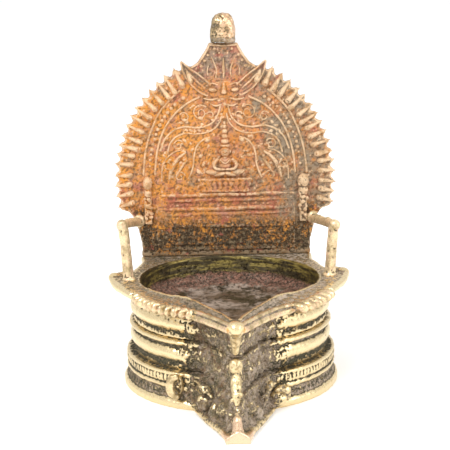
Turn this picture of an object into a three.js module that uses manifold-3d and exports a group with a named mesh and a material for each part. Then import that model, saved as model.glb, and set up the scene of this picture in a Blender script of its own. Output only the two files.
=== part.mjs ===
// A South Indian brass oil lamp: a leaf-shaped oil bowl on a moulded pedestal, with an arched
// back plate held by two side stays. It stands free and has no moving parts.
// Millimetres, +Z up, the spout towards -Y. Everything is laid out about the pedestal's own
// vertical axis, and the last group moves that axis so that the origin is under the middle.
import * as THREE from "three";
import { mergeVertices } from "three/addons/utils/BufferGeometryUtils.js";
import Module from "manifold-3d";

const wasm = await Module();
wasm.setup();

// ---------- driving dimensions ----------
const SEAM = 0.3; // gap left at every joint between two castings

// Pedestal: the foot, the drum on it, and the circular spigots that centre one on the other
const FOOT_RADIUS = 45;
const FOOT_HEIGHT = 14.5;
const FOOT_WALL = 3.4;
const DRUM_INSET = 2.8; // the drum's belly is this far inside the foot
const DRUM_HEIGHT = 12.4;
const DRUM_WALL = 5;
const DECK = 2.4; // thickness of the decks that carry the next tier
const DECK_LAND = 8; // width of the deck from the inside of the foot to the register hole
const SPIGOT_DEPTH = 3;
const SPIGOT_WALL = 2.4;

// Prow: the wedge below the spout, from the foot's toe to the nose of the rim
const PROW_LENGTH = 21; // from the foot's circle to the prow's edge, at the foot's top
const PROW_HALF = 14; // half its width where it leaves the round wall
const TOE_LENGTH = 10.5;
const TOE_HALF = 4.6;
const TOE_HEIGHT = 5.2;
const RIB_HALF = 1.7;
const RIB_DEPTH = 1.8;

// Oil bowl
const BOWL_INSET = 3.4; // its wall is this far inside the foot
const BOWL_WALL_HEIGHT = 12.8; // from the drum to the underside of the rim
const BOWL_WALL = 4.7; // from the opening to the outside, at the rim
const RIM_THICKNESS = 3.2;
const SPOUT_LIP = 1.5; // from the pointed end of the opening to the prow's edge
const FLOOR = 2.4;
const NOSE_RADIUS = 3.4;
const NOSE_OVERHANG = 7.4; // from the prow's edge to the end of the nose
const EDGING_DEPTH = 2;
const BEADS = 9;
const BEADED_SHARE = 0.62; // how much of the edging's length is beaded, from the ear
const EAR_LENGTH = 14.1; // from the opening to the tip of an ear
const EAR_ROOT = 25.4; // how far in front of the axis the ears begin
const EAR_KNOB_RADIUS = 3;

// Back plate
const PLATE_THICKNESS = 2.6;
const PLATE_SETBACK = 0.8; // from the bowl's opening to the plate's face
const ARCH_RADIUS = 47.9; // to the tips of the teeth
const ARCH_RISE = 39; // from the rim to the arch's centre
const SHOULDER_STEP = 10.5; // how far the arch overhangs the plate's foot on each side
const TEETH = 17; // on each side
const TOOTH_DEPTH = 2.2;
const NECK_HEIGHT = 11;
const NECK_HALF = 6.3;
const TENON_WIDTH = 12;
const TENON_SPREAD = 40; // between the middles of the plate's two tenons
const FINIAL_HEIGHT = 12.8;
const FINIAL_RADIUS = 5.7;
const FINIAL_TENON = 4.4;

// Side stays, square bars from the ears to the shoulders of the plate
const STAY_WIDTH = 3.5;
const STAY_INSET = 9; // from the tip of an ear to the stay's foot
const STAY_TENON = 2.2;
const STAY_PIN_RADIUS = 1;
const STAY_FALL = [8, 6]; // how far the left and right arms drop from corner to plate
const STAY_DROP = 6.8; // from the lowest tooth to the stay's head

// Bosses at the roots of the prow; gap is from the prow to the near side of the boss
const BOSSES = [
  { name: "foot_boss_left", side: -1, gap: 0.9, z: 9.6, radius: 5, height: 2.6 },
  { name: "foot_boss_right", side: 1, gap: 0.8, z: 6.4, radius: 3.8, height: 2.4 },
];
const BOSS_SHANK = 1.5;
const BOSS_SHANK_LENGTH = 3.2;

// Relief castings on the plate's face
const RELIEF = 1.1; // the lowest relief
const PEG_RADIUS = 1;
const PEG_LENGTH = 1.6;
const THRONE_HEIGHT = 26;
const THRONE_RISE = 2.4; // from the rim to the throne panel
const SEAT_HEIGHT = 6.6;
const SEAT_THICKNESS = 2.4;
const FIGURE_CLEAR = 7.3; // from the figure's crown to the mask above
const MASK_DROP = 13.4; // from the crown of the arch to the middle of the mask
const MASK_CHIN = 5.6;
const ARCH_BAND = 6.8; // width of the moulding round the arch
const PILASTER_WIDTH = 4;
const PILASTER_RISE = 15; // from the rim to the foot of a pilaster
const BEAST_RADIUS = 2.5;
const BEAST_HEIGHT = 7.2;

// ---------- heights and places that follow from them ----------
const DRUM_RADIUS = FOOT_RADIUS - DRUM_INSET;
const BOWL_RADIUS = FOOT_RADIUS - BOWL_INSET;
const OPENING_RADIUS = BOWL_RADIUS - BOWL_WALL;
const REGISTER_RADIUS = FOOT_RADIUS - FOOT_WALL - DECK_LAND;
const SPIGOT_BORE = REGISTER_RADIUS - SEAM - SPIGOT_WALL;
const PROW_REACH = FOOT_RADIUS + PROW_LENGTH;
const SPOUT_REACH = PROW_REACH - SPOUT_LIP;
const TOE_REACH = PROW_REACH + TOE_LENGTH;
const EAR_REACH = OPENING_RADIUS + EAR_LENGTH;

const DRUM_Z = FOOT_HEIGHT + SEAM;
const BOWL_Z = DRUM_Z + DRUM_HEIGHT + SEAM;
const RIM_UNDER_Z = BOWL_Z + BOWL_WALL_HEIGHT;
const RIM_Z = RIM_UNDER_Z + RIM_THICKNESS;
const RIB_PIN_Z = DRUM_Z + DRUM_HEIGHT * 0.62;

const PLATE_Z = RIM_Z + SEAM;
const PLATE_FRONT = OPENING_RADIUS + PLATE_SETBACK;
const PLATE_BACK = PLATE_FRONT + PLATE_THICKNESS;
const PLATE_MIDDLE = (PLATE_FRONT + PLATE_BACK) / 2;
const RIM_BACK = PLATE_BACK + 1.6;
const PANEL_HALF = ARCH_RADIUS - SHOULDER_STEP; // half the width of the plate's foot
const ARCH_Z = RIM_Z + ARCH_RISE;

const RELIEF_BACK = PLATE_FRONT - SEAM;
const PILASTER_X = PANEL_HALF - PILASTER_WIDTH / 2 - SEAM - 0.7;
const THRONE_HALF = PILASTER_X - BEAST_RADIUS - 0.8;
const THRONE_Z = RIM_Z + THRONE_RISE;
const SEAT_Z = THRONE_Z + THRONE_HEIGHT + SEAM;
const FIGURE_Z = SEAT_Z + SEAT_HEIGHT + SEAM;
const MASK_Z = ARCH_Z + ARCH_RADIUS - MASK_DROP;
const FIGURE_HEIGHT = MASK_Z - MASK_CHIN - FIGURE_CLEAR - FIGURE_Z;

// ---------- solids ----------
// A three.js geometry as a manifold solid.
function solid(geometry) {
  const bare = geometry.clone();
  bare.deleteAttribute("normal");
  bare.deleteAttribute("uv");
  const merged = mergeVertices(bare, 1e-4);
  return new wasm.Manifold(
    new wasm.Mesh({
      numProp: 3,
      vertProperties: new Float32Array(merged.attributes.position.array),
      triVerts: new Uint32Array(merged.index.array),
    }),
  );
}

// A manifold solid as a three.js geometry.
function geometryOf(made) {
  const mesh = made.getMesh();
  const geometry = new THREE.BufferGeometry();
  geometry.setAttribute("position", new THREE.BufferAttribute(mesh.vertProperties, 3));
  geometry.setIndex(new THREE.BufferAttribute(mesh.triVerts, 1));
  geometry.computeVertexNormals();
  return geometry;
}

// The first solid with the others added to it.
function join(first, ...others) {
  return others.reduce((whole, next) => whole.add(next), first);
}

// Closed rings of [x, y, z] points joined in order, with a fan over the first and the last.
function loft(rings) {
  const count = rings[0].length;
  const points = rings.flat();
  const index = [];
  rings.slice(1).forEach((_, level) => {
    for (let i = 0; i < count; i++) {
      const a = level * count + i;
      const b = level * count + ((i + 1) % count);
      index.push(a, b, b + count, a, b + count, a + count);
    }
  });
  const top = rings.length - 1;
  const low = points.push([0, 0, rings[0][0][2]]) - 1;
  const high = points.push([0, 0, rings[top][0][2]]) - 1;
  for (let i = 0; i < count; i++) {
    const next = (i + 1) % count;
    index.push(low, next, i, high, top * count + i, top * count + next);
  }
  const geometry = new THREE.BufferGeometry();
  geometry.setAttribute("position", new THREE.Float32BufferAttribute(points.flat(), 3));
  geometry.setIndex(index);
  return solid(geometry);
}

// A flat outline in plan, raised from z by height.
function raised(outline, z, height) {
  const shape = new THREE.Shape(outline.map(([x, y]) => new THREE.Vector2(x, y)));
  const geometry = new THREE.ExtrudeGeometry(shape, { depth: height, bevelEnabled: false });
  return solid(geometry.translate(0, 0, z));
}

// An upright outline of [x, z] points, standing on y = back and thick towards the front.
function upright(outline, back, thickness) {
  const shape = new THREE.Shape(outline.map(([x, z]) => new THREE.Vector2(x, z)));
  const geometry = new THREE.ExtrudeGeometry(shape, { depth: thickness, bevelEnabled: false });
  return solid(geometry.rotateX(Math.PI / 2).translate(0, back, 0));
}

// A profile of [radius, z] points turned about the pedestal's axis.
function turned(profile, segments = 48) {
  const points = profile.map(([radius, z]) => new THREE.Vector2(radius, z));
  return solid(new THREE.LatheGeometry(points, segments).rotateX(Math.PI / 2));
}

// An outline of [y, z] points, half thick on each side of the lamp's middle.
function across(outline, half) {
  const shape = new THREE.Shape(outline.map(([y, z]) => new THREE.Vector2(y, z)));
  const geometry = new THREE.ExtrudeGeometry(shape, { depth: 2 * half, bevelEnabled: false });
  const turn = new THREE.Matrix4().makeBasis(
    new THREE.Vector3(0, 1, 0),
    new THREE.Vector3(0, 0, 1),
    new THREE.Vector3(1, 0, 0),
  );
  return solid(geometry.applyMatrix4(turn).translate(-half, 0, 0));
}

function box(width, depth, height, x, y, z) {
  return solid(new THREE.BoxGeometry(width, depth, height).translate(x, y, z));
}

// A round peg along Y, from y = front to y = back.
function peg(radius, x, z, front, back) {
  const geometry = new THREE.CylinderGeometry(radius, radius, back - front, 12);
  return solid(geometry.translate(x, (front + back) / 2, z));
}

function ellipsoid(rx, ry, rz, x, y, z, segments = 12) {
  const geometry = new THREE.SphereGeometry(1, segments, segments / 2);
  return solid(geometry.rotateX(Math.PI / 2).scale(rx, ry, rz).translate(x, y, z));
}

// A square bar between two points.
function bar(from, to, width, depth) {
  const a = new THREE.Vector3(...from);
  const b = new THREE.Vector3(...to);
  const geometry = new THREE.BoxGeometry(width, depth, a.distanceTo(b));
  const turn = new THREE.Quaternion().setFromUnitVectors(
    new THREE.Vector3(0, 0, 1),
    b.clone().sub(a).normalize(),
  );
  const middle = a.add(b).multiplyScalar(0.5);
  return solid(geometry.applyQuaternion(turn).translate(middle.x, middle.y, middle.z));
}

function mirrored(outline) {
  return outline.map(([x, y]) => [-x, y]).reverse();
}

// ---------- the plan that every tier shares ----------
// A circle with a pointed prow towards -Y: reach is the prow's edge, half its half width where
// it leaves the circle, and tip the half width of its blunt edge.
function tierOutline({ radius, reach, half, tip }, z) {
  const arcSteps = 44;
  const flankSteps = 4;
  const rootAngle = Math.asin(half / radius);
  const root = -Math.sqrt(radius * radius - half * half);
  const right = [];
  for (let i = 0; i < flankSteps; i++) {
    const t = i / flankSteps;
    const hollow = 0.6 * Math.sin(Math.PI * t);
    right.push([tip + (half - tip) * t - hollow, -reach + (root + reach) * t, z]);
  }
  const arc = [];
  for (let i = 0; i <= arcSteps; i++) {
    const angle = rootAngle + ((2 * Math.PI - 2 * rootAngle) * i) / arcSteps;
    arc.push([radius * Math.sin(angle), -radius * Math.cos(angle), z]);
  }
  const left = right.map(([x, y]) => [-x, y, z]).reverse();
  return [...right, ...arc, ...left];
}

// Levels of one tier: [height, radius, reach, half, tip] above the tier's own base.
const FOOT_LEVELS = [
  [0, FOOT_RADIUS, PROW_REACH + 3, PROW_HALF + 1.6, TOE_HALF],
  [3, FOOT_RADIUS, PROW_REACH + 3, PROW_HALF + 1.6, TOE_HALF],
  [4.2, FOOT_RADIUS - 1.3, PROW_REACH + 2.4, PROW_HALF + 1, 3.6],
  [8.2, FOOT_RADIUS - 1.7, PROW_REACH + 1.8, PROW_HALF + 0.6, 2.8],
  [9, FOOT_RADIUS - 1, PROW_REACH + 1.8, PROW_HALF + 0.6, 2.6],
  [9.8, FOOT_RADIUS - 1.8, PROW_REACH + 1.5, PROW_HALF + 0.2, 2.2],
  [FOOT_HEIGHT - 2, FOOT_RADIUS - 1.2, PROW_REACH + 1, PROW_HALF, 2],
  [FOOT_HEIGHT, FOOT_RADIUS - 1.8, PROW_REACH, PROW_HALF, 2],
];
const DRUM_LEVELS = [
  [0, DRUM_RADIUS - 2, PROW_REACH - 2, PROW_HALF - 1.5, 1.6],
  [DRUM_HEIGHT * 0.22, DRUM_RADIUS - 0.6, PROW_REACH - 3.2, PROW_HALF - 1.7, 1.6],
  [DRUM_HEIGHT * 0.5, DRUM_RADIUS, PROW_REACH - 4.7, PROW_HALF - 2, 1.6],
  [DRUM_HEIGHT * 0.79, DRUM_RADIUS - 0.8, PROW_REACH - 6, PROW_HALF - 2.2, 1.6],
  [DRUM_HEIGHT * 0.87, DRUM_RADIUS + 0.1, PROW_REACH - 5.8, PROW_HALF - 2, 1.6],
  [DRUM_HEIGHT, DRUM_RADIUS + 0.1, PROW_REACH - 5.8, PROW_HALF - 2, 1.6],
];
const BOWL_LEVELS = [
  [0, BOWL_RADIUS - 2, PROW_REACH - 6.8, PROW_HALF - 2.4, 1.6],
  [BOWL_WALL_HEIGHT * 0.17, BOWL_RADIUS - 0.9, PROW_REACH - 6.4, PROW_HALF - 2, 1.6],
  [BOWL_WALL_HEIGHT * 0.43, BOWL_RADIUS, PROW_REACH - 5.4, PROW_HALF - 1.5, 1.6],
  [BOWL_WALL_HEIGHT * 0.74, BOWL_RADIUS - 0.4, PROW_REACH - 3.4, PROW_HALF - 0.5, 1.8],
  [BOWL_WALL_HEIGHT, BOWL_RADIUS - 0.6, PROW_REACH, PROW_HALF + 1, 2],
];

function tier(levels, base) {
  return loft(
    levels.map(([height, radius, reach, half, tip]) =>
      tierOutline({ radius, reach, half, tip }, base + height),
    ),
  );
}

// The round spigot under a tier, which sits in the deck below.
function spigot(base) {
  return turned([
    [0, base - SPIGOT_DEPTH],
    [REGISTER_RADIUS - SEAM, base - SPIGOT_DEPTH],
    [REGISTER_RADIUS - SEAM, base + 1],
    [0, base + 1],
  ]);
}

// ---------- pedestal ----------
function makeFoot() {
  const inside = FOOT_RADIUS - FOOT_WALL;
  const hollow = turned([
    [0, -1],
    [inside, -1],
    [inside - 1.4, FOOT_HEIGHT - DECK],
    [REGISTER_RADIUS, FOOT_HEIGHT - DECK],
    [REGISTER_RADIUS, FOOT_HEIGHT + 1],
    [0, FOOT_HEIGHT + 1],
  ]);
  const toeSection = [
    [-TOE_HALF, 0],
    [TOE_HALF, 0],
    [TOE_HALF - 0.4, TOE_HEIGHT * 0.45],
    [0, TOE_HEIGHT],
    [0.4 - TOE_HALF, TOE_HEIGHT * 0.45],
  ];
  const toe = upright(toeSection, -PROW_REACH + 2, TOE_LENGTH + 2);
  const ridgeLine = [
    [-PROW_REACH + 2, 1],
    [-PROW_REACH + 2, FOOT_HEIGHT - 3],
    [-PROW_REACH - 2, FOOT_HEIGHT - 4],
    [-TOE_REACH + 1, TOE_HEIGHT - 1],
    [-TOE_REACH + 1, 1],
  ];
  const body = join(tier(FOOT_LEVELS, 0), toe, across(ridgeLine, RIB_HALF - 0.5));
  const sockets = BOSSES.map((boss) => bossShank(boss, SEAM));
  return sockets.reduce((left, socket) => left.subtract(socket), body.subtract(hollow));
}

function makeDrum() {
  const top = DRUM_Z + DRUM_HEIGHT;
  const inside = DRUM_RADIUS - DRUM_WALL;
  const hollow = turned([
    [0, DRUM_Z - SPIGOT_DEPTH - 1],
    [SPIGOT_BORE, DRUM_Z - SPIGOT_DEPTH - 1],
    [SPIGOT_BORE, DRUM_Z + DECK - 0.4],
    [inside, DRUM_Z + DECK + 1.4],
    [inside, top - DECK],
    [REGISTER_RADIUS, top - DECK],
    [REGISTER_RADIUS, top + 1],
    [0, top + 1],
  ]);
  const socket = peg(PEG_RADIUS + SEAM, 0, RIB_PIN_Z, -PROW_REACH - 4, -PROW_REACH + 10);
  return join(tier(DRUM_LEVELS, DRUM_Z), spigot(DRUM_Z)).subtract(hollow).subtract(socket);
}

// ---------- oil bowl, with its rim and ears ----------
// The outer line of the rim's edging, on the right, from the nose to the ear. Between its two
// ends each point has its share of the way along and its distance outside the straight line.
function rimEdge() {
  const start = new THREE.Vector2(NOSE_RADIUS + 2.2, -SPOUT_REACH - 3.1);
  const end = new THREE.Vector2(OPENING_RADIUS + 1.5, -EAR_ROOT);
  const along = end.clone().sub(start);
  const out = new THREE.Vector2(along.y, -along.x).normalize();
  const swell = [[0.15, -0.8], [0.39, -0.5], [0.62, 2.9], [0.83, 2.6]];
  const between = swell.map(([share, bulge]) =>
    start.clone().addScaledVector(along, share).addScaledVector(out, bulge),
  );
  return new THREE.SplineCurve([start, ...between, end]);
}

const EDGE = rimEdge();

// Points of the edge, moved outwards by a distance that may vary along it.
function edgeLine(distance, steps = 24) {
  return EDGE.getSpacedPoints(steps).map((point, i) => {
    const along = EDGE.getTangentAt(i / steps);
    const out = typeof distance === "number" ? distance : distance(i / steps);
    return [point.x + along.y * out, point.y - along.x * out];
  });
}

function rimOutline() {
  const nose = [];
  const noseY = -PROW_REACH - NOSE_OVERHANG + NOSE_RADIUS;
  for (let i = 0; i <= 6; i++) {
    const angle = (i / 6) * 1.35;
    nose.push([NOSE_RADIUS * Math.sin(angle), noseY - NOSE_RADIUS * Math.cos(angle)]);
  }
  const ear = [
    [OPENING_RADIUS + 1.8, -EAR_ROOT + 2.2],
    [EAR_REACH - 5.4, -8.5],
    [EAR_REACH - 0.9, 3.6],
    [EAR_REACH - 0.6, 7.2],
    [EAR_REACH - 3.6, 9.4],
    [BOWL_RADIUS, 12],
  ];
  const back = [
    [PANEL_HALF, PLATE_FRONT - 8],
    [PANEL_HALF + 1, RIM_BACK - 3],
    [PANEL_HALF, RIM_BACK],
  ];
  const right = [...nose, ...edgeLine(-EDGING_DEPTH - SEAM), ...ear, ...back];
  return [...right, ...mirrored(right).slice(0, -1)];
}

// The inside of the bowl, with the channel that runs out to the spout. Each level has its
// height, its radius, how far the channel runs towards the spout, and the channel's half width.
function makeCavity() {
  const low = BOWL_Z + FLOOR + 1.6;
  const depth = RIM_Z - low;
  const levels = [
    [0, OPENING_RADIUS - 11, 0.26, 7],
    [0.14, OPENING_RADIUS - 5, 0.37, 9],
    [0.38, OPENING_RADIUS - 1.6, 0.5, 11],
    [1 - RIM_THICKNESS / depth, OPENING_RADIUS - 0.5, 0.78, 14.4],
    [1, OPENING_RADIUS, 1, 16.6],
    [1.2, OPENING_RADIUS, 1, 16.6],
  ].map(([share, radius, channel, half]) => {
    const reach = radius + channel * (SPOUT_REACH - OPENING_RADIUS);
    return [share * depth, radius, reach, half, 0.8];
  });
  return tier(levels, low);
}

// Pins that hold an edging in the side of the rim; the rim's holes are the same, with clearance.
function edgingPins(side, clearance) {
  const width = 1.4 + 2 * clearance;
  return [0.14, 0.5, 0.86].map((share) => {
    const point = EDGE.getPointAt(share);
    const along = EDGE.getTangentAt(share);
    const at = (distance) => [
      side * (point.x + along.y * distance),
      point.y - along.x * distance,
      RIM_UNDER_Z + RIM_THICKNESS / 2,
    ];
    return bar(at(-EDGING_DEPTH + 0.6), at(-EDGING_DEPTH - 2.2 - clearance), width, width);
  });
}

function makeBowl() {
  const rim = raised(rimOutline(), RIM_UNDER_Z, RIM_THICKNESS);
  const knob = EAR_KNOB_RADIUS;
  const knobs = [-1, 1].map((side) =>
    ellipsoid(knob, knob, 2.4, side * (EAR_REACH - knob), 5.6, RIM_Z - 1.4),
  );
  const recess = turned([
    [0, BOWL_Z - SPIGOT_DEPTH - 1],
    [SPIGOT_BORE, BOWL_Z - SPIGOT_DEPTH - 1],
    [SPIGOT_BORE, BOWL_Z],
    [OPENING_RADIUS - 12, BOWL_Z + 1.6],
    [0, BOWL_Z + 1.6],
  ]);
  const hole = STAY_TENON + 2 * SEAM;
  const slot = TENON_WIDTH + 2 * SEAM;
  const cuts = [-1, 1].flatMap((side) => [
    box(hole, hole, 8, side * STAY_X, STAY_Y, RIM_Z - RIM_THICKNESS / 2),
    box(slot, PLATE_THICKNESS, 8, (side * TENON_SPREAD) / 2, PLATE_MIDDLE, RIM_Z - 2),
    ...edgingPins(side, SEAM),
  ]);
  const body = join(tier(BOWL_LEVELS, BOWL_Z), rim, spigot(BOWL_Z), ...knobs);
  return [makeCavity(), recess, ...cuts].reduce((left, cut) => left.subtract(cut), body);
}

// The edging on one side of the rim, beaded from the ear and plain towards the nose.
function makeEdging(side) {
  const swell = (t) => {
    const place = ((1 - t) / BEADED_SHARE) * BEADS;
    return place < BEADS ? 0.8 * Math.abs(Math.sin(Math.PI * place)) - 0.4 : 0;
  };
  const outer = edgeLine(swell, 64);
  const inner = edgeLine(-EDGING_DEPTH).reverse();
  const strip = raised([...outer, ...inner], RIM_UNDER_Z - 0.2, RIM_THICKNESS);
  return join(side < 0 ? strip.mirror([1, 0, 0]) : strip, ...edgingPins(side, 0));
}

// ---------- the rib down the prow's edge ----------
function makeRib() {
  const drumEdge = DRUM_LEVELS.slice(1).map(([height, , reach]) => [DRUM_Z + height, reach]);
  const bowlEdge = BOWL_LEVELS.slice(0, 4).map(([height, , reach]) => [BOWL_Z + height, reach]);
  const edge = [[FOOT_HEIGHT + SEAM, PROW_REACH], ...drumEdge, ...bowlEdge];
  const rear = edge.map(([z, reach]) => [-reach - SEAM, z]);
  const front = rear.map(([y, z]) => [y - RIB_DEPTH, z]).reverse();
  const waist = -PROW_REACH + 5;
  const bead = ellipsoid(2.7, 1.8, 3.3, 0, waist - RIB_DEPTH - SEAM, RIB_PIN_Z + 1.2);
  const pin = peg(PEG_RADIUS, 0, RIB_PIN_Z, waist - 1, waist + 3);
  return join(across([...rear, ...front], RIB_HALF), bead, pin);
}

// ---------- bosses at the roots of the prow ----------
const BOSS_SEAT = FOOT_RADIUS + 0.2; // from the axis to the flat back of a boss

// Turns a solid made in front of the axis so that it stands out of the wall at the boss.
function facing(boss, made) {
  const x = boss.side * (PROW_HALF + boss.gap + boss.radius);
  const angle = (Math.asin(x / FOOT_RADIUS) * 180) / Math.PI;
  return made.rotate([0, 0, angle]).translate([0, 0, boss.z]);
}

function bossShank(boss, clearance) {
  const radius = BOSS_SHANK + clearance;
  const depth = BOSS_SHANK_LENGTH + clearance;
  return facing(boss, peg(radius, 0, 0, -BOSS_SEAT - 0.6, -BOSS_SEAT + depth));
}

function makeBoss(boss) {
  const { radius, height } = boss;
  const dome = ellipsoid(radius, height, radius, 0, -BOSS_SEAT - SEAM, 0, 16);
  const front = box(4 * radius, 2 * height, 4 * radius, 0, -BOSS_SEAT - SEAM - height, 0);
  return join(facing(boss, dome.intersect(front)), bossShank(boss, 0));
}

// ---------- back plate ----------
const FIRST_TOOTH = -0.323; // radians above the horizontal through the arch's centre
const LAST_TOOTH = 1.21;

function toothTip(i) {
  const angle = FIRST_TOOTH + ((LAST_TOOTH - FIRST_TOOTH) * i) / (TEETH - 1);
  const flare = 2.6 * ((angle - 0.47) / 0.785) ** 2;
  return [angle, ARCH_RADIUS + flare];
}

function archPoint(angle, radius) {
  return [radius * Math.cos(angle), ARCH_Z + radius * Math.sin(angle)];
}

const NECK_Z = archPoint(LAST_TOOTH, ARCH_RADIUS)[1] - 0.6;
const NECK_TOP_Z = NECK_Z + NECK_HEIGHT;
const [SHOULDER_X, SHOULDER_Z] = archPoint(...toothTip(0));

function plateOutline() {
  const rise = SHOULDER_Z - PLATE_Z;
  const right = [
    [PANEL_HALF, PLATE_Z],
    [PANEL_HALF + 1.6, PLATE_Z + rise * 0.54],
    [PANEL_HALF + 3.2, PLATE_Z + rise * 0.78],
    [PANEL_HALF + 5.2, SHOULDER_Z - 2.4],
    [SHOULDER_X - 1.2, SHOULDER_Z - 1.2],
  ];
  for (let i = 0; i < TEETH; i++) {
    const [angle, radius] = toothTip(i);
    right.push(archPoint(angle, radius));
    const half = (LAST_TOOTH - FIRST_TOOTH) / (TEETH - 1) / 2;
    right.push(archPoint(angle + half, radius - TOOTH_DEPTH));
  }
  right.push(
    [NECK_HALF + 4.6, NECK_Z + NECK_HEIGHT * 0.32],
    [NECK_HALF + 1.9, NECK_Z + NECK_HEIGHT * 0.66],
    [NECK_HALF, NECK_TOP_Z],
  );
  return [...right, ...mirrored(right)];
}

// Where each relief casting's pegs sit in the plate: [x, z].
const [ARCH_PEG_X, ARCH_PEG_Z] = archPoint(0.3, PILASTER_X);
const PILASTER_PEG_Z = RIM_Z + PILASTER_RISE + 8;
const PEGS = {
  throne_panel: [[-22, THRONE_Z + THRONE_HEIGHT * 0.4], [22, THRONE_Z + THRONE_HEIGHT * 0.4]],
  lotus_seat: [[0, SEAT_Z + SEAT_HEIGHT / 2]],
  seated_figure: [[0, FIGURE_Z + FIGURE_HEIGHT * 0.27]],
  crest_mask: [[0, MASK_Z]],
  arch_moulding_left: [[-ARCH_PEG_X, ARCH_PEG_Z]],
  arch_moulding_right: [[ARCH_PEG_X, ARCH_PEG_Z]],
  pilaster_left: [[-PILASTER_X, PILASTER_PEG_Z]],
  pilaster_right: [[PILASTER_X, PILASTER_PEG_Z]],
};

function makePlate() {
  const tenonDepth = PLATE_THICKNESS - 2 * SEAM;
  const tenons = [-1, 1].map((side) =>
    box(TENON_WIDTH, tenonDepth, 5, (side * TENON_SPREAD) / 2, PLATE_MIDDLE, PLATE_Z - 0.9),
  );
  const finialTenon = box(FINIAL_TENON, tenonDepth, 6, 0, PLATE_MIDDLE, NECK_TOP_Z + 2);
  const body = upright(plateOutline(), PLATE_BACK, PLATE_THICKNESS);
  const pegHoles = Object.values(PEGS)
    .flat()
    .map(([x, z]) => peg(PEG_RADIUS + SEAM, x, z, PLATE_FRONT - 1, PLATE_FRONT + PEG_LENGTH + SEAM));
  const pinHoles = [-1, 1].map((side) =>
    peg(STAY_PIN_RADIUS + SEAM, side * STAY_HEAD_X, STAY_HEAD_Z, PLATE_FRONT - 1, PLATE_BACK + 1),
  );
  const plate = join(body, ...tenons, finialTenon);
  return [...pegHoles, ...pinHoles].reduce((left, hole) => left.subtract(hole), plate);
}

function makeFinial() {
  const base = NECK_TOP_Z + SEAM;
  const steps = 8;
  const profile = [[0, 0], [FINIAL_RADIUS * 0.86, 0]];
  for (let i = 1; i < steps; i++) {
    const t = i / steps;
    profile.push([FINIAL_RADIUS * Math.sqrt(1 - Math.abs(2 * t - 0.8) ** 2.6 / 1.62), FINIAL_HEIGHT * t]);
  }
  profile.push([0, FINIAL_HEIGHT]);
  const knob = turned(profile, 20).scale([1, 0.78, 1]).translate([0, PLATE_MIDDLE, base]);
  const socket = box(FINIAL_TENON + 2 * SEAM, PLATE_THICKNESS, 12, 0, PLATE_MIDDLE, base);
  return knob.subtract(socket);
}

// ---------- side stays ----------
const STAY_X = EAR_REACH - STAY_INSET;
const STAY_Y = -1.2;
const STAY_HEAD_X = PANEL_HALF + 1.3;
const STAY_HEAD_Z = SHOULDER_Z - STAY_DROP;

function makeStay(side) {
  const width = STAY_WIDTH;
  const fall = STAY_FALL[side < 0 ? 0 : 1];
  const foot = [side * STAY_X, STAY_Y, RIM_Z + SEAM];
  const top = [side * (STAY_X + 1.8), STAY_Y + 1, STAY_HEAD_Z + fall];
  const head = [side * STAY_HEAD_X, RELIEF_BACK, STAY_HEAD_Z];
  const under = [top[0], top[1], top[2] - width / 2];
  const post = bar(foot, top, width, width);
  const arm = bar(under, head, width, width * 0.9);
  const beyond = box(20, 8, 20, head[0], RELIEF_BACK + 4, head[2]);
  const below = box(12, 12, 8, foot[0], foot[1], foot[2] - 4);
  const tenon = box(STAY_TENON, STAY_TENON, 4, foot[0], foot[1], RIM_Z - 0.6);
  const pin = peg(STAY_PIN_RADIUS, head[0], head[2], PLATE_FRONT - 3, PLATE_BACK);
  return join(post.add(arm).subtract(beyond).subtract(below), tenon, pin);
}

// ---------- relief castings on the plate ----------
function pegs(name) {
  return PEGS[name].map(([x, z]) => peg(PEG_RADIUS, x, z, RELIEF_BACK - 0.5, PLATE_FRONT + PEG_LENGTH));
}

function makeThronePanel() {
  const half = THRONE_HALF;
  const high = THRONE_Z + THRONE_HEIGHT;
  const face = [[-half, THRONE_Z], [half, THRONE_Z], [half, high], [-half, high]];
  const rails = [0.15, 0.73, 0.95].map((share) =>
    box(2 * half, 1.2, 1.2, 0, RELIEF_BACK - RELIEF - 0.4, THRONE_Z + THRONE_HEIGHT * share),
  );
  return join(upright(face, RELIEF_BACK, RELIEF), ...rails, ...pegs("throne_panel"));
}

function makeSeat() {
  const high = SEAT_Z + SEAT_HEIGHT;
  const outline = [[-11, SEAT_Z], [11, SEAT_Z], [14.4, high], [-14.4, high]];
  return join(upright(outline, RELIEF_BACK, SEAT_THICKNESS), ...pegs("lotus_seat"));
}

// A cross-legged figure in half relief: knees, hips, chest, arms, head and tall crown.
// Each part has its half width, depth and half height, and its place, on a figure 25 high.
function makeFigure() {
  const scale = FIGURE_HEIGHT / 25;
  const parts = [
    [8.6, 2.6, 2.3, 0, 2.3],
    [4.4, 2.4, 4, 0, 6],
    [3.8, 2.4, 3.4, 0, 9.4],
    [1.8, 1.6, 3.6, -4.6, 7.6],
    [1.8, 1.6, 3.6, 4.6, 7.6],
    [2.1, 2.2, 2.6, 0, 13.6],
    [2, 1.8, 4.2, 0, 18],
    [1, 1.2, 3.4, 0, 21.6],
  ].map(([rx, ry, rz, x, z]) =>
    ellipsoid(rx * scale, ry, rz * scale, x * scale, RELIEF_BACK, FIGURE_Z + z * scale),
  );
  const front = box(60, 10, 80, 0, RELIEF_BACK - 5, FIGURE_Z + 30);
  return join(join(...parts).intersect(front), ...pegs("seated_figure"));
}

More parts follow.
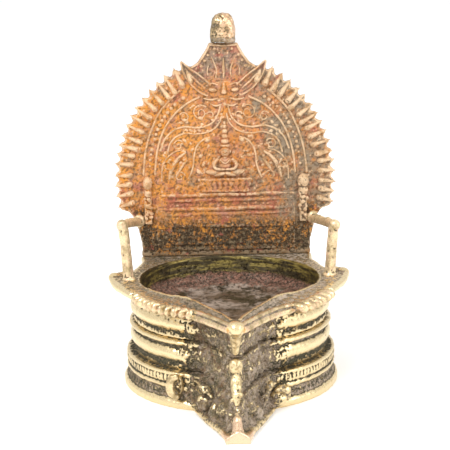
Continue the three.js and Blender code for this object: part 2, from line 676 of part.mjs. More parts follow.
// A lion mask with two swept horns, below the neck of the plate.
function makeMask() {
  const half = [
    [2.6, -MASK_CHIN],
    [7.6, -3.6],
    [9.4, -0.4],
    [16, 5.4],
    [18.6, 11.4],
    [12, 8.4],
    [5.6, 5.2],
    [2.2, 6.8],
  ].map(([x, z]) => [x, MASK_Z + z]);
  const outline = [...half, ...mirrored(half)];
  const nose = ellipsoid(2.2, 1.8, 3, 0, RELIEF_BACK - 1.6, MASK_Z);
  return join(upright(outline, RELIEF_BACK, 1.8), nose, ...pegs("crest_mask"));
}

// The moulding round one side of the arch: a low band with a ridge along each edge.
function makeArch(name, side) {
  const [start, end, steps] = [-0.06, 1.12, 14];
  const [inner, outer] = [PILASTER_X - ARCH_BAND / 2, PILASTER_X + ARCH_BAND / 2];
  const line = (radius) =>
    Array.from({ length: steps + 1 }, (_, i) => archPoint(start + ((end - start) * i) / steps, radius));
  const band = (low, high, thickness) => {
    const outline = [...line(high), ...line(low).reverse()];
    return upright(side < 0 ? mirrored(outline) : outline, RELIEF_BACK, thickness);
  };
  return join(
    band(inner, outer, RELIEF * 0.6),
    band(inner, inner + 1, RELIEF),
    band(outer - 1, outer, RELIEF),
    ...pegs(name),
  );
}

// A short shaft with a crouching beast on top, under one end of the arch's moulding.
function makePilaster(name, side) {
  const x = side * PILASTER_X;
  const low = RIM_Z + PILASTER_RISE;
  const archFoot = archPoint(-0.06, PILASTER_X + ARCH_BAND / 2)[1];
  const top = archFoot - SEAM;
  const shaftTop = top - BEAST_HEIGHT / 2;
  const shaft = box(PILASTER_WIDTH, 2, shaftTop - low, x, RELIEF_BACK - 1, (low + shaftTop) / 2);
  const beast = ellipsoid(BEAST_RADIUS, 2.4, BEAST_HEIGHT / 2, x, RELIEF_BACK - 1.2, shaftTop);
  const front = box(12, 10, 80, x, RELIEF_BACK - 5, shaftTop);
  return join(shaft, beast.intersect(front), ...pegs(name));
}

// ---------- materials ----------
const metal = (color, roughness, metalness) =>
  new THREE.MeshStandardMaterial({ color, roughness, metalness });
const WORN_BRASS = metal(0xc8a970, 0.42, 0.9);
const TARNISHED_BRASS = metal(0x6f6047, 0.6, 0.8);
const PASTE_BRASS = metal(0xb8743f, 0.8, 0.35);

// ---------- the lamp ----------
const lamp = new THREE.Group();

function place(name, made, material) {
  const mesh = new THREE.Mesh(geometryOf(made), material);
  mesh.name = name;
  lamp.add(mesh);
}

place("foot", makeFoot(), TARNISHED_BRASS);
BOSSES.forEach((boss) => place(boss.name, makeBoss(boss), WORN_BRASS));
place("pedestal_drum", makeDrum(), TARNISHED_BRASS);
place("oil_bowl", makeBowl(), WORN_BRASS);
place("prow_rib", makeRib(), WORN_BRASS);
place("rim_edging_left", makeEdging(-1), WORN_BRASS);
place("rim_edging_right", makeEdging(1), WORN_BRASS);
place("stay_left", makeStay(-1), WORN_BRASS);
place("stay_right", makeStay(1), WORN_BRASS);
place("back_plate", makePlate(), PASTE_BRASS);
place("finial", makeFinial(), WORN_BRASS);
place("throne_panel", makeThronePanel(), PASTE_BRASS);
place("lotus_seat", makeSeat(), PASTE_BRASS);
place("seated_figure", makeFigure(), PASTE_BRASS);
place("crest_mask", makeMask(), PASTE_BRASS);
place("arch_moulding_left", makeArch("arch_moulding_left", -1), PASTE_BRASS);
place("arch_moulding_right", makeArch("arch_moulding_right", 1), PASTE_BRASS);
place("pilaster_left", makePilaster("pilaster_left", -1), PASTE_BRASS);
place("pilaster_right", makePilaster("pilaster_right", 1), PASTE_BRASS);

// The origin is on the table, midway between the toe and the back of the foot.
lamp.position.y = (TOE_REACH - FOOT_RADIUS) / 2;
const assembly = new THREE.Group();
assembly.add(lamp);

export default assembly;
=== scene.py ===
"""A small cast brass oil lamp with an arched back plate, old, oiled and dusted with powder."""

import math
import random

import bmesh
import bpy
import numpy as np
from mathutils import Matrix, Vector


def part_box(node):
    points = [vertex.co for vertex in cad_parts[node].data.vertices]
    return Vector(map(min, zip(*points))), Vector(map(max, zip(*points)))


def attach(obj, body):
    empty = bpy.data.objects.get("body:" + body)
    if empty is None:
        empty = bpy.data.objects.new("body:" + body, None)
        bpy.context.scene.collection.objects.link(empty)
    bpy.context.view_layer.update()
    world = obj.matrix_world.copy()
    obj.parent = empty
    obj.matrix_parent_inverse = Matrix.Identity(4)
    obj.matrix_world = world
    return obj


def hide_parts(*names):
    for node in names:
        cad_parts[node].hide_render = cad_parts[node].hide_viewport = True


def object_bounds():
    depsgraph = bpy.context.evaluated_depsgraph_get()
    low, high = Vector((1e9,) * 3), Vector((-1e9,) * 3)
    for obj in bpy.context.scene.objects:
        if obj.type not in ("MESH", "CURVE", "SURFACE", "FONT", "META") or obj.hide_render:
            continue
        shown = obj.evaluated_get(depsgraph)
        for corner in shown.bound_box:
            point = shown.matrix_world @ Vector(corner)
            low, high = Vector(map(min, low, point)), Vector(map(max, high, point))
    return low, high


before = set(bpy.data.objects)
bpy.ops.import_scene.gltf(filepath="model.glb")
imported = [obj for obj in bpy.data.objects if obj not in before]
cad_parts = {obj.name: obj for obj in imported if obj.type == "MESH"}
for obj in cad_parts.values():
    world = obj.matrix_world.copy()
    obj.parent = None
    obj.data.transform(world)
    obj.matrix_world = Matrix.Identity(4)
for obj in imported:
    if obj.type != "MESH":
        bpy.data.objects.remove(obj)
cad_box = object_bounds()
chance = random.Random(11)

# ---------------------------------------------------------------------------------------
# Measures. Places are in millimetres from the pedestal's upright axis, turned into metres
# by at(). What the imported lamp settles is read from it.
# ---------------------------------------------------------------------------------------
MM = 0.001
FOOT_R = 45.0
AXIS_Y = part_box("foot")[1].y / MM - FOOT_R
FOOT_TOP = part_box("foot")[1].z / MM
TOE_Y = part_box("foot")[0].y / MM - AXIS_Y
DRUM_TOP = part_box("pedestal_drum")[1].z / MM
SEAM = 0.3
DRUM_Z = FOOT_TOP + SEAM
BOWL_Z = DRUM_TOP + SEAM
RIM_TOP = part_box("rim_edging_left")[1].z / MM + 0.2
RIM_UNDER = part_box("rim_edging_left")[0].z / MM + 0.2
EAR_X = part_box("oil_bowl")[1].x / MM
NOSE_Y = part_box("oil_bowl")[0].y / MM - AXIS_Y
FACE_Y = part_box("back_plate")[0].y / MM - AXIS_Y
BACK_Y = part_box("back_plate")[1].y / MM - AXIS_Y
RIM_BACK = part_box("oil_bowl")[1].y / MM - AXIS_Y
ARCH_Z = RIM_TOP + 39
ARCH_R = 47.9
NECK_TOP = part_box("finial")[0].z / MM - SEAM
LAMP_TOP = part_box("finial")[1].z / MM
OPENING_R = 36.9


def at(x, y, z):
    """A point in millimetres from the pedestal's axis, in the frame's metres."""
    return Vector((x * MM, (AXIS_Y + y) * MM, z * MM))


# ---------------------------------------------------------------------------------------
# The bench: selecting, joining, melting and finishing
# ---------------------------------------------------------------------------------------
def pick(*objects):
    bpy.ops.object.select_all(action="DESELECT")
    for each in objects:
        each.select_set(True)
    bpy.context.view_layer.objects.active = objects[0]


def apply(obj, kind, **settings):
    pick(obj)
    modifier = obj.modifiers.new(kind.lower(), kind)
    for key, value in settings.items():
        setattr(modifier, key, value)
    bpy.ops.object.modifier_apply(modifier=modifier.name)


def freeze(obj):
    """Puts the object's place and size into its mesh."""
    pick(obj)
    bpy.ops.object.transform_apply(location=True, rotation=True, scale=True)
    return obj


def joined(parts):
    pick(*parts)
    if len(parts) > 1:
        bpy.ops.object.join()
    return freeze(bpy.context.view_layer.objects.active)


def melt(obj, voxel, rounds=3):
    """Runs overlapping solids into one skin with the soft fillets of a casting."""
    apply(obj, "REMESH", mode="VOXEL", voxel_size=voxel * MM, use_smooth_shade=True)
    apply(obj, "SMOOTH", factor=0.5, iterations=rounds)
    return obj


def weigh(obj, name, share):
    """Gives every point a weight from its place in millimetres."""
    group = obj.vertex_groups.new(name=name)
    for vertex in obj.data.vertices:
        x, y, z = vertex.co
        weight = share(x / MM, y / MM - AXIS_Y, z / MM)
        if weight > 0:
            group.add([vertex.index], min(weight, 1.0), "REPLACE")


def roughen(obj, size, strength, group=""):
    """The uneven skin of a sand casting."""
    texture = bpy.data.textures.new("skin", "CLOUDS")
    texture.noise_scale = size * MM
    texture.noise_depth = 2
    settings = {"texture": texture, "texture_coords": "LOCAL", "strength": strength * MM, "mid_level": 0.5}
    if group:
        settings["vertex_group"] = group
    apply(obj, "DISPLACE", **settings)
    return obj


def trim(obj):
    """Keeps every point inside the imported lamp's box."""
    count = len(obj.data.vertices)
    place = np.empty(count * 3)
    obj.data.vertices.foreach_get("co", place)
    low, high = (np.array(corner) for corner in cad_box)
    place = np.clip(place.reshape(-1, 3), low, high)
    obj.data.vertices.foreach_set("co", place.ravel())
    obj.data.update()


def hollows(obj):
    """Stores how far each point lies in a hollow (1) or on a ridge (-1), finely and broadly."""
    mesh = obj.data
    count = len(mesh.vertices)
    place = np.empty(count * 3)
    mesh.vertices.foreach_get("co", place)
    place = place.reshape(-1, 3)
    normal = np.empty(count * 3)
    mesh.vertices.foreach_get("normal", normal)
    normal = normal.reshape(-1, 3)
    edges = np.empty(len(mesh.edges) * 2, int)
    mesh.edges.foreach_get("vertices", edges)
    first, second = edges.reshape(-1, 2).T
    degree = np.maximum(np.bincount(first, minlength=count) + np.bincount(second, minlength=count), 1)
    soft = place.copy()
    for name, rounds, depth in (("fine", 4, 0.06), ("broad", 56, 0.7)):
        for _ in range(rounds):
            total = np.empty_like(soft)
            for axis in range(3):
                total[:, axis] = np.bincount(first, soft[second, axis], count)
                total[:, axis] += np.bincount(second, soft[first, axis], count)
            soft = 0.35 * soft + 0.65 * total / degree[:, None]
        value = np.clip(((soft - place) * normal).sum(1) / (depth * MM), -1, 1)
        layer = mesh.attributes.new(name, "FLOAT", "POINT")
        layer.data.foreach_set("value", value.astype(np.float32))


def finish(obj, name, finish_slot, material, *nodes, shaded=True):
    """Names a piece, gives it its skin, and lets it ride on the lamp."""
    freeze(obj)
    obj.name = name
    obj.data.name = name
    obj.data.materials.clear()
    obj.data.materials.append(material)
    if shaded:
        pick(obj)
        bpy.ops.object.shade_smooth()
    trim(obj)
    hollows(obj)
    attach(obj, "root")
    if nodes:
        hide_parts(*nodes)
    return obj


# ---------------------------------------------------------------------------------------
# Primitives at a place in millimetres
# ---------------------------------------------------------------------------------------
def turned_to(obj, x=0.0, y=0.0, z=0.0):
    obj.rotation_euler = (x, y, z)
    return freeze(obj)


def lump(x, y, z, wide, deep, high, turn=0.0, detail=3):
    """A rounded lump with its half sizes, turned about the front-to-back line."""
    pick_none()
    bpy.ops.mesh.primitive_ico_sphere_add(subdivisions=detail, radius=MM, location=at(x, y, z))
    obj = bpy.context.object
    obj.scale = (wide, deep, high)
    return turned_to(obj, y=turn)


def block(x, y, z, wide, deep, high, bevel=0.0, turn=0.0):
    """A block with its full sizes and softened edges."""
    pick_none()
    bpy.ops.mesh.primitive_cube_add(size=MM, location=at(x, y, z))
    obj = bpy.context.object
    obj.scale = (wide, deep, high)
    turned_to(obj, y=turn)
    if bevel:
        apply(obj, "BEVEL", width=bevel * MM, segments=3, limit_method="ANGLE")
    return obj


def pick_none():
    bpy.ops.object.select_all(action="DESELECT")


def wire(points, radius, taper=None, flat=1.0, cyclic=False, steps=6):
    """A rounded thread through points in millimetres; taper gives each point's share of radius."""
    pick_none()
    bpy.ops.curve.primitive_bezier_curve_add()
    obj = bpy.context.object
    curve = obj.data
    curve.splines.clear()
    spline = curve.splines.new("BEZIER")
    spline.bezier_points.add(len(points) - 1)
    for i, (knot, point) in enumerate(zip(spline.bezier_points, points)):
        knot.co = at(*point)
        knot.handle_left_type = knot.handle_right_type = "AUTO"
        knot.radius = taper[i] if taper else 1.0
    spline.use_cyclic_u = cyclic
    spline.resolution_u = steps
    curve.dimensions = "3D"
    curve.bevel_depth = radius * MM
    curve.bevel_resolution = 2
    curve.use_fill_caps = True
    bpy.ops.object.convert(target="MESH")
    obj = bpy.context.object
    if flat != 1.0:
        middle = at(*points[0]).y
        obj.data.transform(Matrix.Translation((0, -middle, 0)))
        obj.data.transform(Matrix.Diagonal((1, flat, 1, 1)))
        obj.data.transform(Matrix.Translation((0, middle, 0)))
    return obj


def mirrored(obj):
    """A copy on the other side of the lamp, with its own mesh."""
    pick(obj)
    bpy.ops.object.duplicate()
    twin = bpy.context.object
    twin.data.transform(Matrix.Diagonal((-1, 1, 1, 1)))
    twin.data.flip_normals()
    return twin


def both(parts):
    return parts + [mirrored(part) for part in parts]


# ---------------------------------------------------------------------------------------
# Tiers: one ring shaped to the plan, then extruded level by level
# ---------------------------------------------------------------------------------------
def bearings():
    """Directions round the axis, from the spout: close together across the prow."""
    near = [i * 0.4 for i in range(9)]
    flank = [3.2 + i * 0.95 for i in range(1, 24)]
    wall = [25.05 + i * 2.01 for i in range(1, 77)]
    half = [angle for angle in near + flank + wall if angle < 179.5]
    turned = [-angle for angle in half[:0:-1]] + half + [180.0]
    return np.radians(np.array(turned))


BEARINGS = bearings()


def polar(outline):
    """How far a closed outline of (x, y), lying round the axis, is from it at each bearing."""
    points = np.array(outline + outline[:1], float)
    dense = []
    for start, end in zip(points[:-1], points[1:]):
        steps = max(2, int(np.hypot(*(end - start)) / 0.4))
        share = np.linspace(0, 1, steps, endpoint=False)[:, None]
        dense.append(start + (end - start) * share)
    dense = np.concatenate(dense)
    bearing = np.arctan2(dense[:, 0], -dense[:, 1])
    order = np.argsort(bearing)
    return np.interp(BEARINGS, bearing[order], np.hypot(*dense[order].T), period=2 * math.pi)


def tier_plan(radius, reach, half, tip=1.8):
    """A circle with a pointed prow in front of it."""
    root = -math.sqrt(radius**2 - half**2)
    right = []
    for i in range(8):
        share = i / 8
        hollow = 0.8 * math.sin(math.pi * share)
        right.append((tip + (half - tip) * share - hollow, -reach + (root + reach) * share))
    start = math.asin(half / radius)
    arc = []
    for i in range(61):
        angle = start + (2 * math.pi - 2 * start) * i / 60
        arc.append((radius * math.sin(angle), -radius * math.cos(angle)))
    return polar(right + arc + [(-x, y) for x, y in reversed(right)])


def disc(radius):
    return np.full(len(BEARINGS), float(radius))


def lofted(levels):
    """Extrudes one ring through (height, distances) levels and closes both ends."""
    pick_none()
    bpy.ops.mesh.primitive_circle_add(vertices=len(BEARINGS), radius=MM, enter_editmode=True)
    obj = bpy.context.object
    for number, (height, distance) in enumerate(levels):
        if number:
            bpy.ops.mesh.extrude_region_move()
        mesh = bmesh.from_edit_mesh(obj.data)
        ring = [vertex for vertex in mesh.verts if vertex.select]
        if number:
            ring.sort(key=lambda vertex: math.atan2(vertex.co.x, AXIS_Y * MM - vertex.co.y))
        else:
            ring.sort(key=lambda vertex: math.atan2(vertex.co.x, -vertex.co.y))
        for vertex, bearing, far in zip(ring, BEARINGS, distance):
            vertex.co = at(far * math.sin(bearing), -far * math.cos(bearing), height)
        bmesh.update_edit_mesh(obj.data)
    bpy.ops.mesh.edge_face_add()
    bpy.ops.mesh.select_all(action="DESELECT")
    bpy.ops.mesh.select_non_manifold()
    bpy.ops.mesh.edge_face_add()
    bpy.ops.mesh.select_all(action="SELECT")
    bpy.ops.mesh.quads_convert_to_tris()
    bpy.ops.mesh.normals_make_consistent(inside=False)
    bpy.ops.object.mode_set(mode="OBJECT")
    return obj


# ---------------------------------------------------------------------------------------
# Camera, floor and light
# ---------------------------------------------------------------------------------------
def stand_camera():
    data = bpy.data.cameras.new("camera")
    data.lens = 96.6
    data.sensor_width = 36
    data.clip_start = 0.01
    camera = bpy.data.objects.new("camera", data)
    bpy.context.scene.collection.objects.link(camera)
    ahead = Vector((0.02566, 0.97731, -0.21023)).normalized()
    up = Vector((0.02301, 0.20967, 0.97750))
    right = ahead.cross(up).normalized()
    up = right.cross(ahead)
    place = Matrix((right, up, -ahead)).transposed().to_4x4()
    place.translation = at(-14.31, -488.66, 170.45)
    camera.matrix_world = place
    bpy.context.scene.camera = camera


def lay_floor():
    pick_none()
    bpy.ops.mesh.primitive_plane_add(size=30)
    floor = bpy.context.object
    floor.name = "floor"
    paper = bpy.data.materials.new("white_paper")
    paper.use_nodes = True
    shader = paper.node_tree.nodes["Principled BSDF"]
    shader.inputs["Base Color"].default_value = (0.95, 0.95, 0.95, 1)
    shader.inputs["Roughness"].default_value = 0.9
    shader.inputs["Emission Color"].default_value = (1, 1, 1, 1)
    shader.inputs["Emission Strength"].default_value = 0.16
    floor.data.materials.append(paper)


def hang_light(name, place, size, power, aim=(0, 0, 0.06), colour=(1, 1, 1)):
    data = bpy.data.lights.new(name, "AREA")
    data.size = size
    data.energy = power
    data.color = colour
    lamp = bpy.data.objects.new(name, data)
    bpy.context.scene.collection.objects.link(lamp)
    lamp.location = place
    lamp.rotation_euler = (Vector(aim) - Vector(place)).to_track_quat("-Z", "Y").to_euler()


def light_room():
    world = bpy.data.worlds.new("studio")
    world.use_nodes = True
    world.node_tree.nodes["Background"].inputs["Color"].default_value = (1, 1, 1, 1)
    world.node_tree.nodes["Background"].inputs["Strength"].default_value = 0.9
    bpy.context.scene.world = world
    bpy.context.scene.view_settings.view_transform = "Standard"
    hang_light("key", (-0.5, -0.7, 0.9), 0.6, 9)
    hang_light("fill", (0.8, -0.5, 0.6), 0.7, 4)



# ---------------------------------------------------------------------------------------
# More bench work: slabs, beams, thorns and smooth lines
# ---------------------------------------------------------------------------------------
def slab(outline, front, back):
    """An upright outline of (x, z), filled and extruded from the front to the back."""
    pick_none()
    bpy.ops.mesh.primitive_circle_add(
        vertices=len(outline), radius=MM, fill_type="NGON", enter_editmode=True)
    obj = bpy.context.object
    mesh = bmesh.from_edit_mesh(obj.data)
    ring = sorted(mesh.verts, key=lambda vertex: math.atan2(vertex.co.y, vertex.co.x))
    for vertex, (x, z) in zip(ring, outline):
        vertex.co = at(x, front, z)
    bmesh.update_edit_mesh(obj.data)
    bpy.ops.mesh.extrude_region_move(
        TRANSFORM_OT_translate={"value": (0, (back - front) * MM, 0)})
    bpy.ops.mesh.select_all(action="SELECT")
    bpy.ops.mesh.quads_convert_to_tris(quad_method="BEAUTY", ngon_method="BEAUTY")
    bpy.ops.mesh.normals_make_consistent(inside=False)
    bpy.ops.object.mode_set(mode="OBJECT")
    return obj


def beam(start, end, width, deep, bevel=0.5, taper=1.0):
    """A square bar between two points, its far end narrowed by taper."""
    a, b = at(*start), at(*end)
    pick_none()
    bpy.ops.mesh.primitive_cube_add(size=1)
    obj = bpy.context.object
    for vertex in obj.data.vertices:
        narrow = taper if vertex.co.z > 0 else 1.0
        vertex.co = (vertex.co.x * width * narrow * MM, vertex.co.y * deep * narrow * MM,
                     vertex.co.z * (b - a).length)
    obj.matrix_world = Matrix.Translation((a + b) / 2) @ (b - a).to_track_quat("Z", "Y").to_matrix().to_4x4()
    freeze(obj)
    apply(obj, "BEVEL", width=bevel * MM, segments=2, limit_method="ANGLE")
    return obj


def thorn(start, end, wide, narrow, sides=12):
    """A round spike between two points."""
    a, b = at(*start), at(*end)
    pick_none()
    bpy.ops.mesh.primitive_cone_add(
        vertices=sides, radius1=wide * MM, radius2=narrow * MM, depth=(b - a).length)
    obj = bpy.context.object
    obj.matrix_world = Matrix.Translation((a + b) / 2) @ (b - a).to_track_quat("Z", "Y").to_matrix().to_4x4()
    return freeze(obj)


def smooth_line(knots, steps=8):
    """A curve through points, with steps between each pair."""
    knots = [np.array(knot, float) for knot in knots]
    ends = [2 * knots[0] - knots[1]] + knots + [2 * knots[-1] - knots[-2]]
    line = []
    for a, b, c, d in zip(ends, ends[1:], ends[2:], ends[3:]):
        for i in range(steps):
            t = i / steps
            line.append(0.5 * (2 * b + (c - a) * t + (2 * a - 5 * b + 4 * c - d) * t**2
                               + (3 * b - a - 3 * c + d) * t**3))
    return line + [knots[-1]]


# ---------------------------------------------------------------------------------------
# Pedestal: foot with its toe, drum, bosses and the rib down the prow
# ---------------------------------------------------------------------------------------
# Rows of a tier, bottom to top: height, radius, prow's reach, prow's half width, its tip.
FOOT_ROWS = [
    (0.0, 44.5, 68.6, 15.3, 4.2),
    (0.5, 45.0, 69.0, 15.6, 4.6),
    (2.5, 45.0, 69.0, 15.6, 4.6),
    (3.3, 44.4, 68.6, 15.2, 4.2),
    (3.9, 43.2, 68.2, 14.8, 3.6),
    (7.5, 42.8, 67.6, 14.5, 2.8),
    (8.1, 43.8, 68.0, 14.8, 2.8),
    (8.8, 43.9, 67.9, 14.8, 2.7),
    (9.5, 42.8, 67.2, 14.3, 2.4),
    (10.3, 43.4, 67.2, 14.3, 2.3),
    (11.8, 43.9, 67.0, 14.2, 2.2),
    (13.0, 43.4, 66.6, 14.0, 2.1),
    (13.4, 42.9, 66.4, 13.9, 2.0),
    (13.8, 43.9, 66.4, 14.2, 2.0),
    (14.5, 43.4, 66.0, 14.0, 2.0),
]
DRUM_ROWS = [
    (-0.45, 40.0, 64.4, 12.4),
    (0.9, 40.6, 63.8, 12.4),
    (2.1, 40.7, 63.0, 12.2),
    (3.4, 40.9, 62.4, 12.1),
    (4.8, 41.7, 61.8, 12.0),
    (6.2, 42.0, 61.3, 11.9),
    (7.8, 41.6, 60.7, 11.8),
    (9.0, 40.5, 60.2, 11.6),
    (9.8, 40.0, 60.0, 11.5),
    (10.3, 41.2, 60.3, 11.8),
    (10.9, 42.2, 60.6, 12.0),
    (11.7, 42.3, 60.6, 12.0),
    (12.4, 41.5, 60.2, 11.9),
]
BOWL_ROWS = [
    (-0.45, 40.4, 59.6, 11.8),
    (0.8, 40.2, 59.5, 11.8),
    (1.8, 39.8, 59.5, 11.8),
    (3.0, 40.2, 59.8, 12.0),
    (3.9, 41.2, 60.2, 12.2),
    (5.0, 41.7, 60.6, 12.6),
    (6.4, 41.5, 61.0, 12.9),
    (8.0, 40.8, 61.9, 13.3),
    (9.6, 40.1, 62.9, 13.8),
    (10.9, 40.1, 63.8, 14.2),
    (12.0, 40.6, 64.9, 14.7),
    (12.8, 41.0, 66.0, 15.0),
]


def tier_levels(rows, base):
    return [(base + row[0], tier_plan(*row[1:])) for row in rows]


def on_prow(x, y, z):
    """1 on the crusted flanks of the prow, fading out on the tiers."""
    return min(max((25 - abs(x)) / 8, 0), 1) * min(max((-31 - y) / 6, 0), 1) * min(max((y + 74.5) / 5, 0.15), 1) * min(max((z - 1.5) / 4, 0.12), 1)


def punch_band(obj, low, high, count, depth):
    """Presses a row of upright dashes into a round band between two heights."""
    for vertex in obj.data.vertices:
        x, y, z = vertex.co.x / MM, vertex.co.y / MM - AXIS_Y, vertex.co.z / MM
        far = math.hypot(x, y)
        if not (low < z < high and 42.6 < far < 45.2):
            continue
        angle = math.atan2(x, -y)
        fade = math.sin(math.pi * (z - low) / (high - low))
        cut = depth * fade * (0.5 - 0.5 * math.cos(count * angle)) * MM / far
        vertex.co.x -= x * cut
        vertex.co.y -= y * cut


def make_foot():
    inner = [(FOOT_TOP, disc(33)), (FOOT_TOP - 2.4, disc(33)), (FOOT_TOP - 2.4, disc(40.2)), (0, disc(41.6))]
    rows = tier_levels(FOOT_ROWS, 0)
    body = lofted(rows + inner)
    toe = [(-4.6, 0), (4.6, 0), (4.5, 2.3), (0.5, 5.1), (-0.5, 5.1), (-4.5, 2.3)]
    parts = [
        body,
        slab(toe, TOE_Y, -62),
        thorn((0, TOE_Y + 1.2, 2.4), (0, -64.8, 12.0), 2.5, 0.9),
        wire([(-3.6, TOE_Y + 1.6, 1.6), (-5.8, -67.6, 1.8), (-10.6, -56.0, 1.7), (-15.4, -45.2, 1.6)], 1.5,
             taper=[1, 1, 1, 0.5]),
        wire([(3.6, TOE_Y + 1.6, 1.6), (5.8, -67.6, 1.8), (10.6, -56.0, 1.7), (15.4, -45.2, 1.6)], 1.5,
             taper=[1, 1, 1, 0.5]),
        wire([(-15.0, -44.6, 13.9), (-11.6, -50.8, 12.6), (-8.6, -55.6, 10.4)], 1.5, taper=[0.5, 1.15, 0.3]),
        wire([(14.6, -46.4, 13.4), (12.6, -49.8, 10.4), (10.6, -53.6, 6.0)], 1.6, taper=[0.35, 1.0, 0.4]),
        wire([(12.6, -49.8, 10.4), (9.2, -56.4, 9.2)], 1.3, taper=[1.0, 0.3]),
        lump(-11.5, -49.8, 6.8, 3.6, 3.0, 3.4),
        lump(-7.2, -58.6, 6.0, 3.0, 3.0, 3.6),
        lump(7.4, -58.0, 5.4, 2.8, 2.6, 3.2),
        lump(5.0, -63.5, 9.2, 2.4, 2.2, 2.4),
        lump(-4.8, -63.8, 8.6, 2.2, 2.2, 3.0),
        lump(17.0, -43.2, 5.0, 3.4, 2.4, 3.0),
    ]
    melted = melt(joined(parts), 0.57, 2)
    punch_band(melted, 10.3, 13.3, 140, 0.36)
    weigh(melted, "prow", on_prow)
    roughen(melted, 4.6, 2.8, "prow")
    roughen(melted, 1.6, 1.5, "prow")
    roughen(melted, 2.6, 0.4)
    roughen(melted, 1.1, 0.25)
    return finish(melted, "foot_casting", "pedestal_brass", pedestal_skin, "foot")


def make_drum():
    top = DRUM_TOP
    inner = [(top, disc(33)), (top - 2.4, disc(33)), (top - 2.4, disc(37)),
             (DRUM_Z + 4, disc(37)), (DRUM_Z + 2, disc(30.3)), (DRUM_Z, disc(30.3))]
    body = melt(lofted(tier_levels(DRUM_ROWS, DRUM_Z) + inner), 0.5, 2)
    weigh(body, "prow", on_prow)
    roughen(body, 4.6, 3.6, "prow")
    roughen(body, 1.6, 1.7, "prow")
    roughen(body, 3.2, 0.35)
    roughen(body, 1.1, 0.2)
    return finish(body, "drum_casting", "pedestal_brass", pedestal_skin, "pedestal_drum")


def make_bosses():
    seat = 45.4
    crescent = []
    for i in range(9):
        angle = math.radians(74 + 212 * i / 8)
        crescent.append((2.9 * math.cos(angle), -seat - 1.3, 10.0 + 4.0 * math.sin(angle)))
    left = [
        lump(-1.3, -seat + 1.3, 10.0, 2.7, 1.5, 4.2),
        wire(crescent, 1.8, taper=[0.4, 0.75, 1.05, 1.2, 1.25, 1.2, 1.05, 0.75, 0.4]),
        lump(-0.9, -seat - 0.7, 11.8, 1.5, 0.8, 0.6, turn=-0.5, detail=2),
        lump(-0.7, -seat - 0.7, 9.9, 1.7, 0.8, 0.6, detail=2),
        lump(-0.9, -seat - 0.7, 8.0, 1.5, 0.8, 0.6, turn=0.5, detail=2),
    ]
    right = [
        lump(0, -seat + 0.4, 6.0, 3.9, 1.8, 3.8),
        lump(1.3, -seat - 0.6, 7.6, 2.1, 1.4, 1.8),
        lump(-1.4, -seat - 0.5, 4.6, 1.9, 1.2, 1.7),
        lump(1.7, -seat - 0.3, 4.2, 1.5, 1.1, 1.3),
    ]
    for name, parts, side, x in (("left", left, -1, 21.4), ("right", right, 1, 18.6)):
        boss = joined(parts)
        spin = Matrix.Rotation(side * math.asin(x / FOOT_R), 4, "Z")
        axis = Matrix.Translation((0, AXIS_Y * MM, 0))
        boss.data.transform(axis @ spin @ axis.inverted())
        boss = melt(boss, 0.3, 2)
        roughen(boss, 1.6, 0.6)
        skin = boss_skin if side < 0 else crusted_skin
        finish(boss, "boss_" + name, "worn_brass", skin, "foot_boss_" + name)


def make_rib():
    parts = [
        wire([(0, -67.0, 40.6), (0, -64.6, 37.5), (0, -62.2, 33.5), (0, -60.8, 29.4)], 2.35,
             taper=[1.1, 1.0, 0.8, 0.5]),
        lump(0, -61.9, 24.9, 2.7, 2.0, 3.1),
        lump(0.3, -63.3, 25.4, 1.3, 0.9, 1.5),
        wire([(0, -61.4, 22.4), (0, -62.8, 20), (0, -64.4, 17), (0, -66.4, 14), (0, -67.6, 11.4)], 2.0,
             taper=[0.6, 1.05, 1.1, 0.8, 0.45]),
        lump(0.3, -66.4, 15.4, 2.3, 1.3, 1.5),
    ]
    rib = melt(joined(parts), 0.32, 2)
    roughen(rib, 1.8, 0.4)
    return finish(rib, "rib_casting", "pedestal_brass", rib_skin, "prow_rib")


# ---------------------------------------------------------------------------------------
# Oil bowl with its rim and ears, and the edgings along the rim
# ---------------------------------------------------------------------------------------
EDGE_KNOTS = [(3.5, -70.6), (5.6, -67.6), (9.9, -60.8), (18.0, -50.8), (28.2, -43.2), (34.9, -34.2), (38.4, -25.4)]
EDGE = smooth_line(EDGE_KNOTS, 8)


def edge_point(share, inwards=0.0):
    """A point on the rim's right front edge, from the nose (0) to the ear (1)."""
    line = np.array(EDGE)
    gaps = np.hypot(*np.diff(line, axis=0).T)
    run = np.concatenate([[0], np.cumsum(gaps)])
    distance = share * run[-1]
    here = np.array([np.interp(distance, run, line[:, 0]), np.interp(distance, run, line[:, 1])])
    ahead = np.array([np.interp(distance + 0.5, run, line[:, 0]), np.interp(distance + 0.5, run, line[:, 1])])
    behind = np.array([np.interp(distance - 0.5, run, line[:, 0]), np.interp(distance - 0.5, run, line[:, 1])])
    along = (ahead - behind) / np.hypot(*(ahead - behind))
    return here[0] - along[1] * inwards, here[1] + along[0] * inwards, math.atan2(along[1], along[0])


def rim_plan():
    nose = []
    for i in range(7):
        angle = 1.35 * i / 6
        nose.append((3.4 * math.sin(angle), NOSE_Y + 3.4 - 3.4 * math.cos(angle)))
    front = [edge_point(i / 24, 2.0)[:2] for i in range(25)]
    ear = [(38.7, -23.2), (45.6, -8.5), (EAR_X - 0.9, 3.6), (EAR_X - 0.6, 7.2), (EAR_X - 3.6, 9.4), (41.6, 12)]
    back = [(37.4, FACE_Y - 8), (38.4, RIM_BACK - 3), (37.4, RIM_BACK)]
    right = nose + front + ear + back
    return polar(right + [(-x, y) for x, y in reversed(right)][:-1])


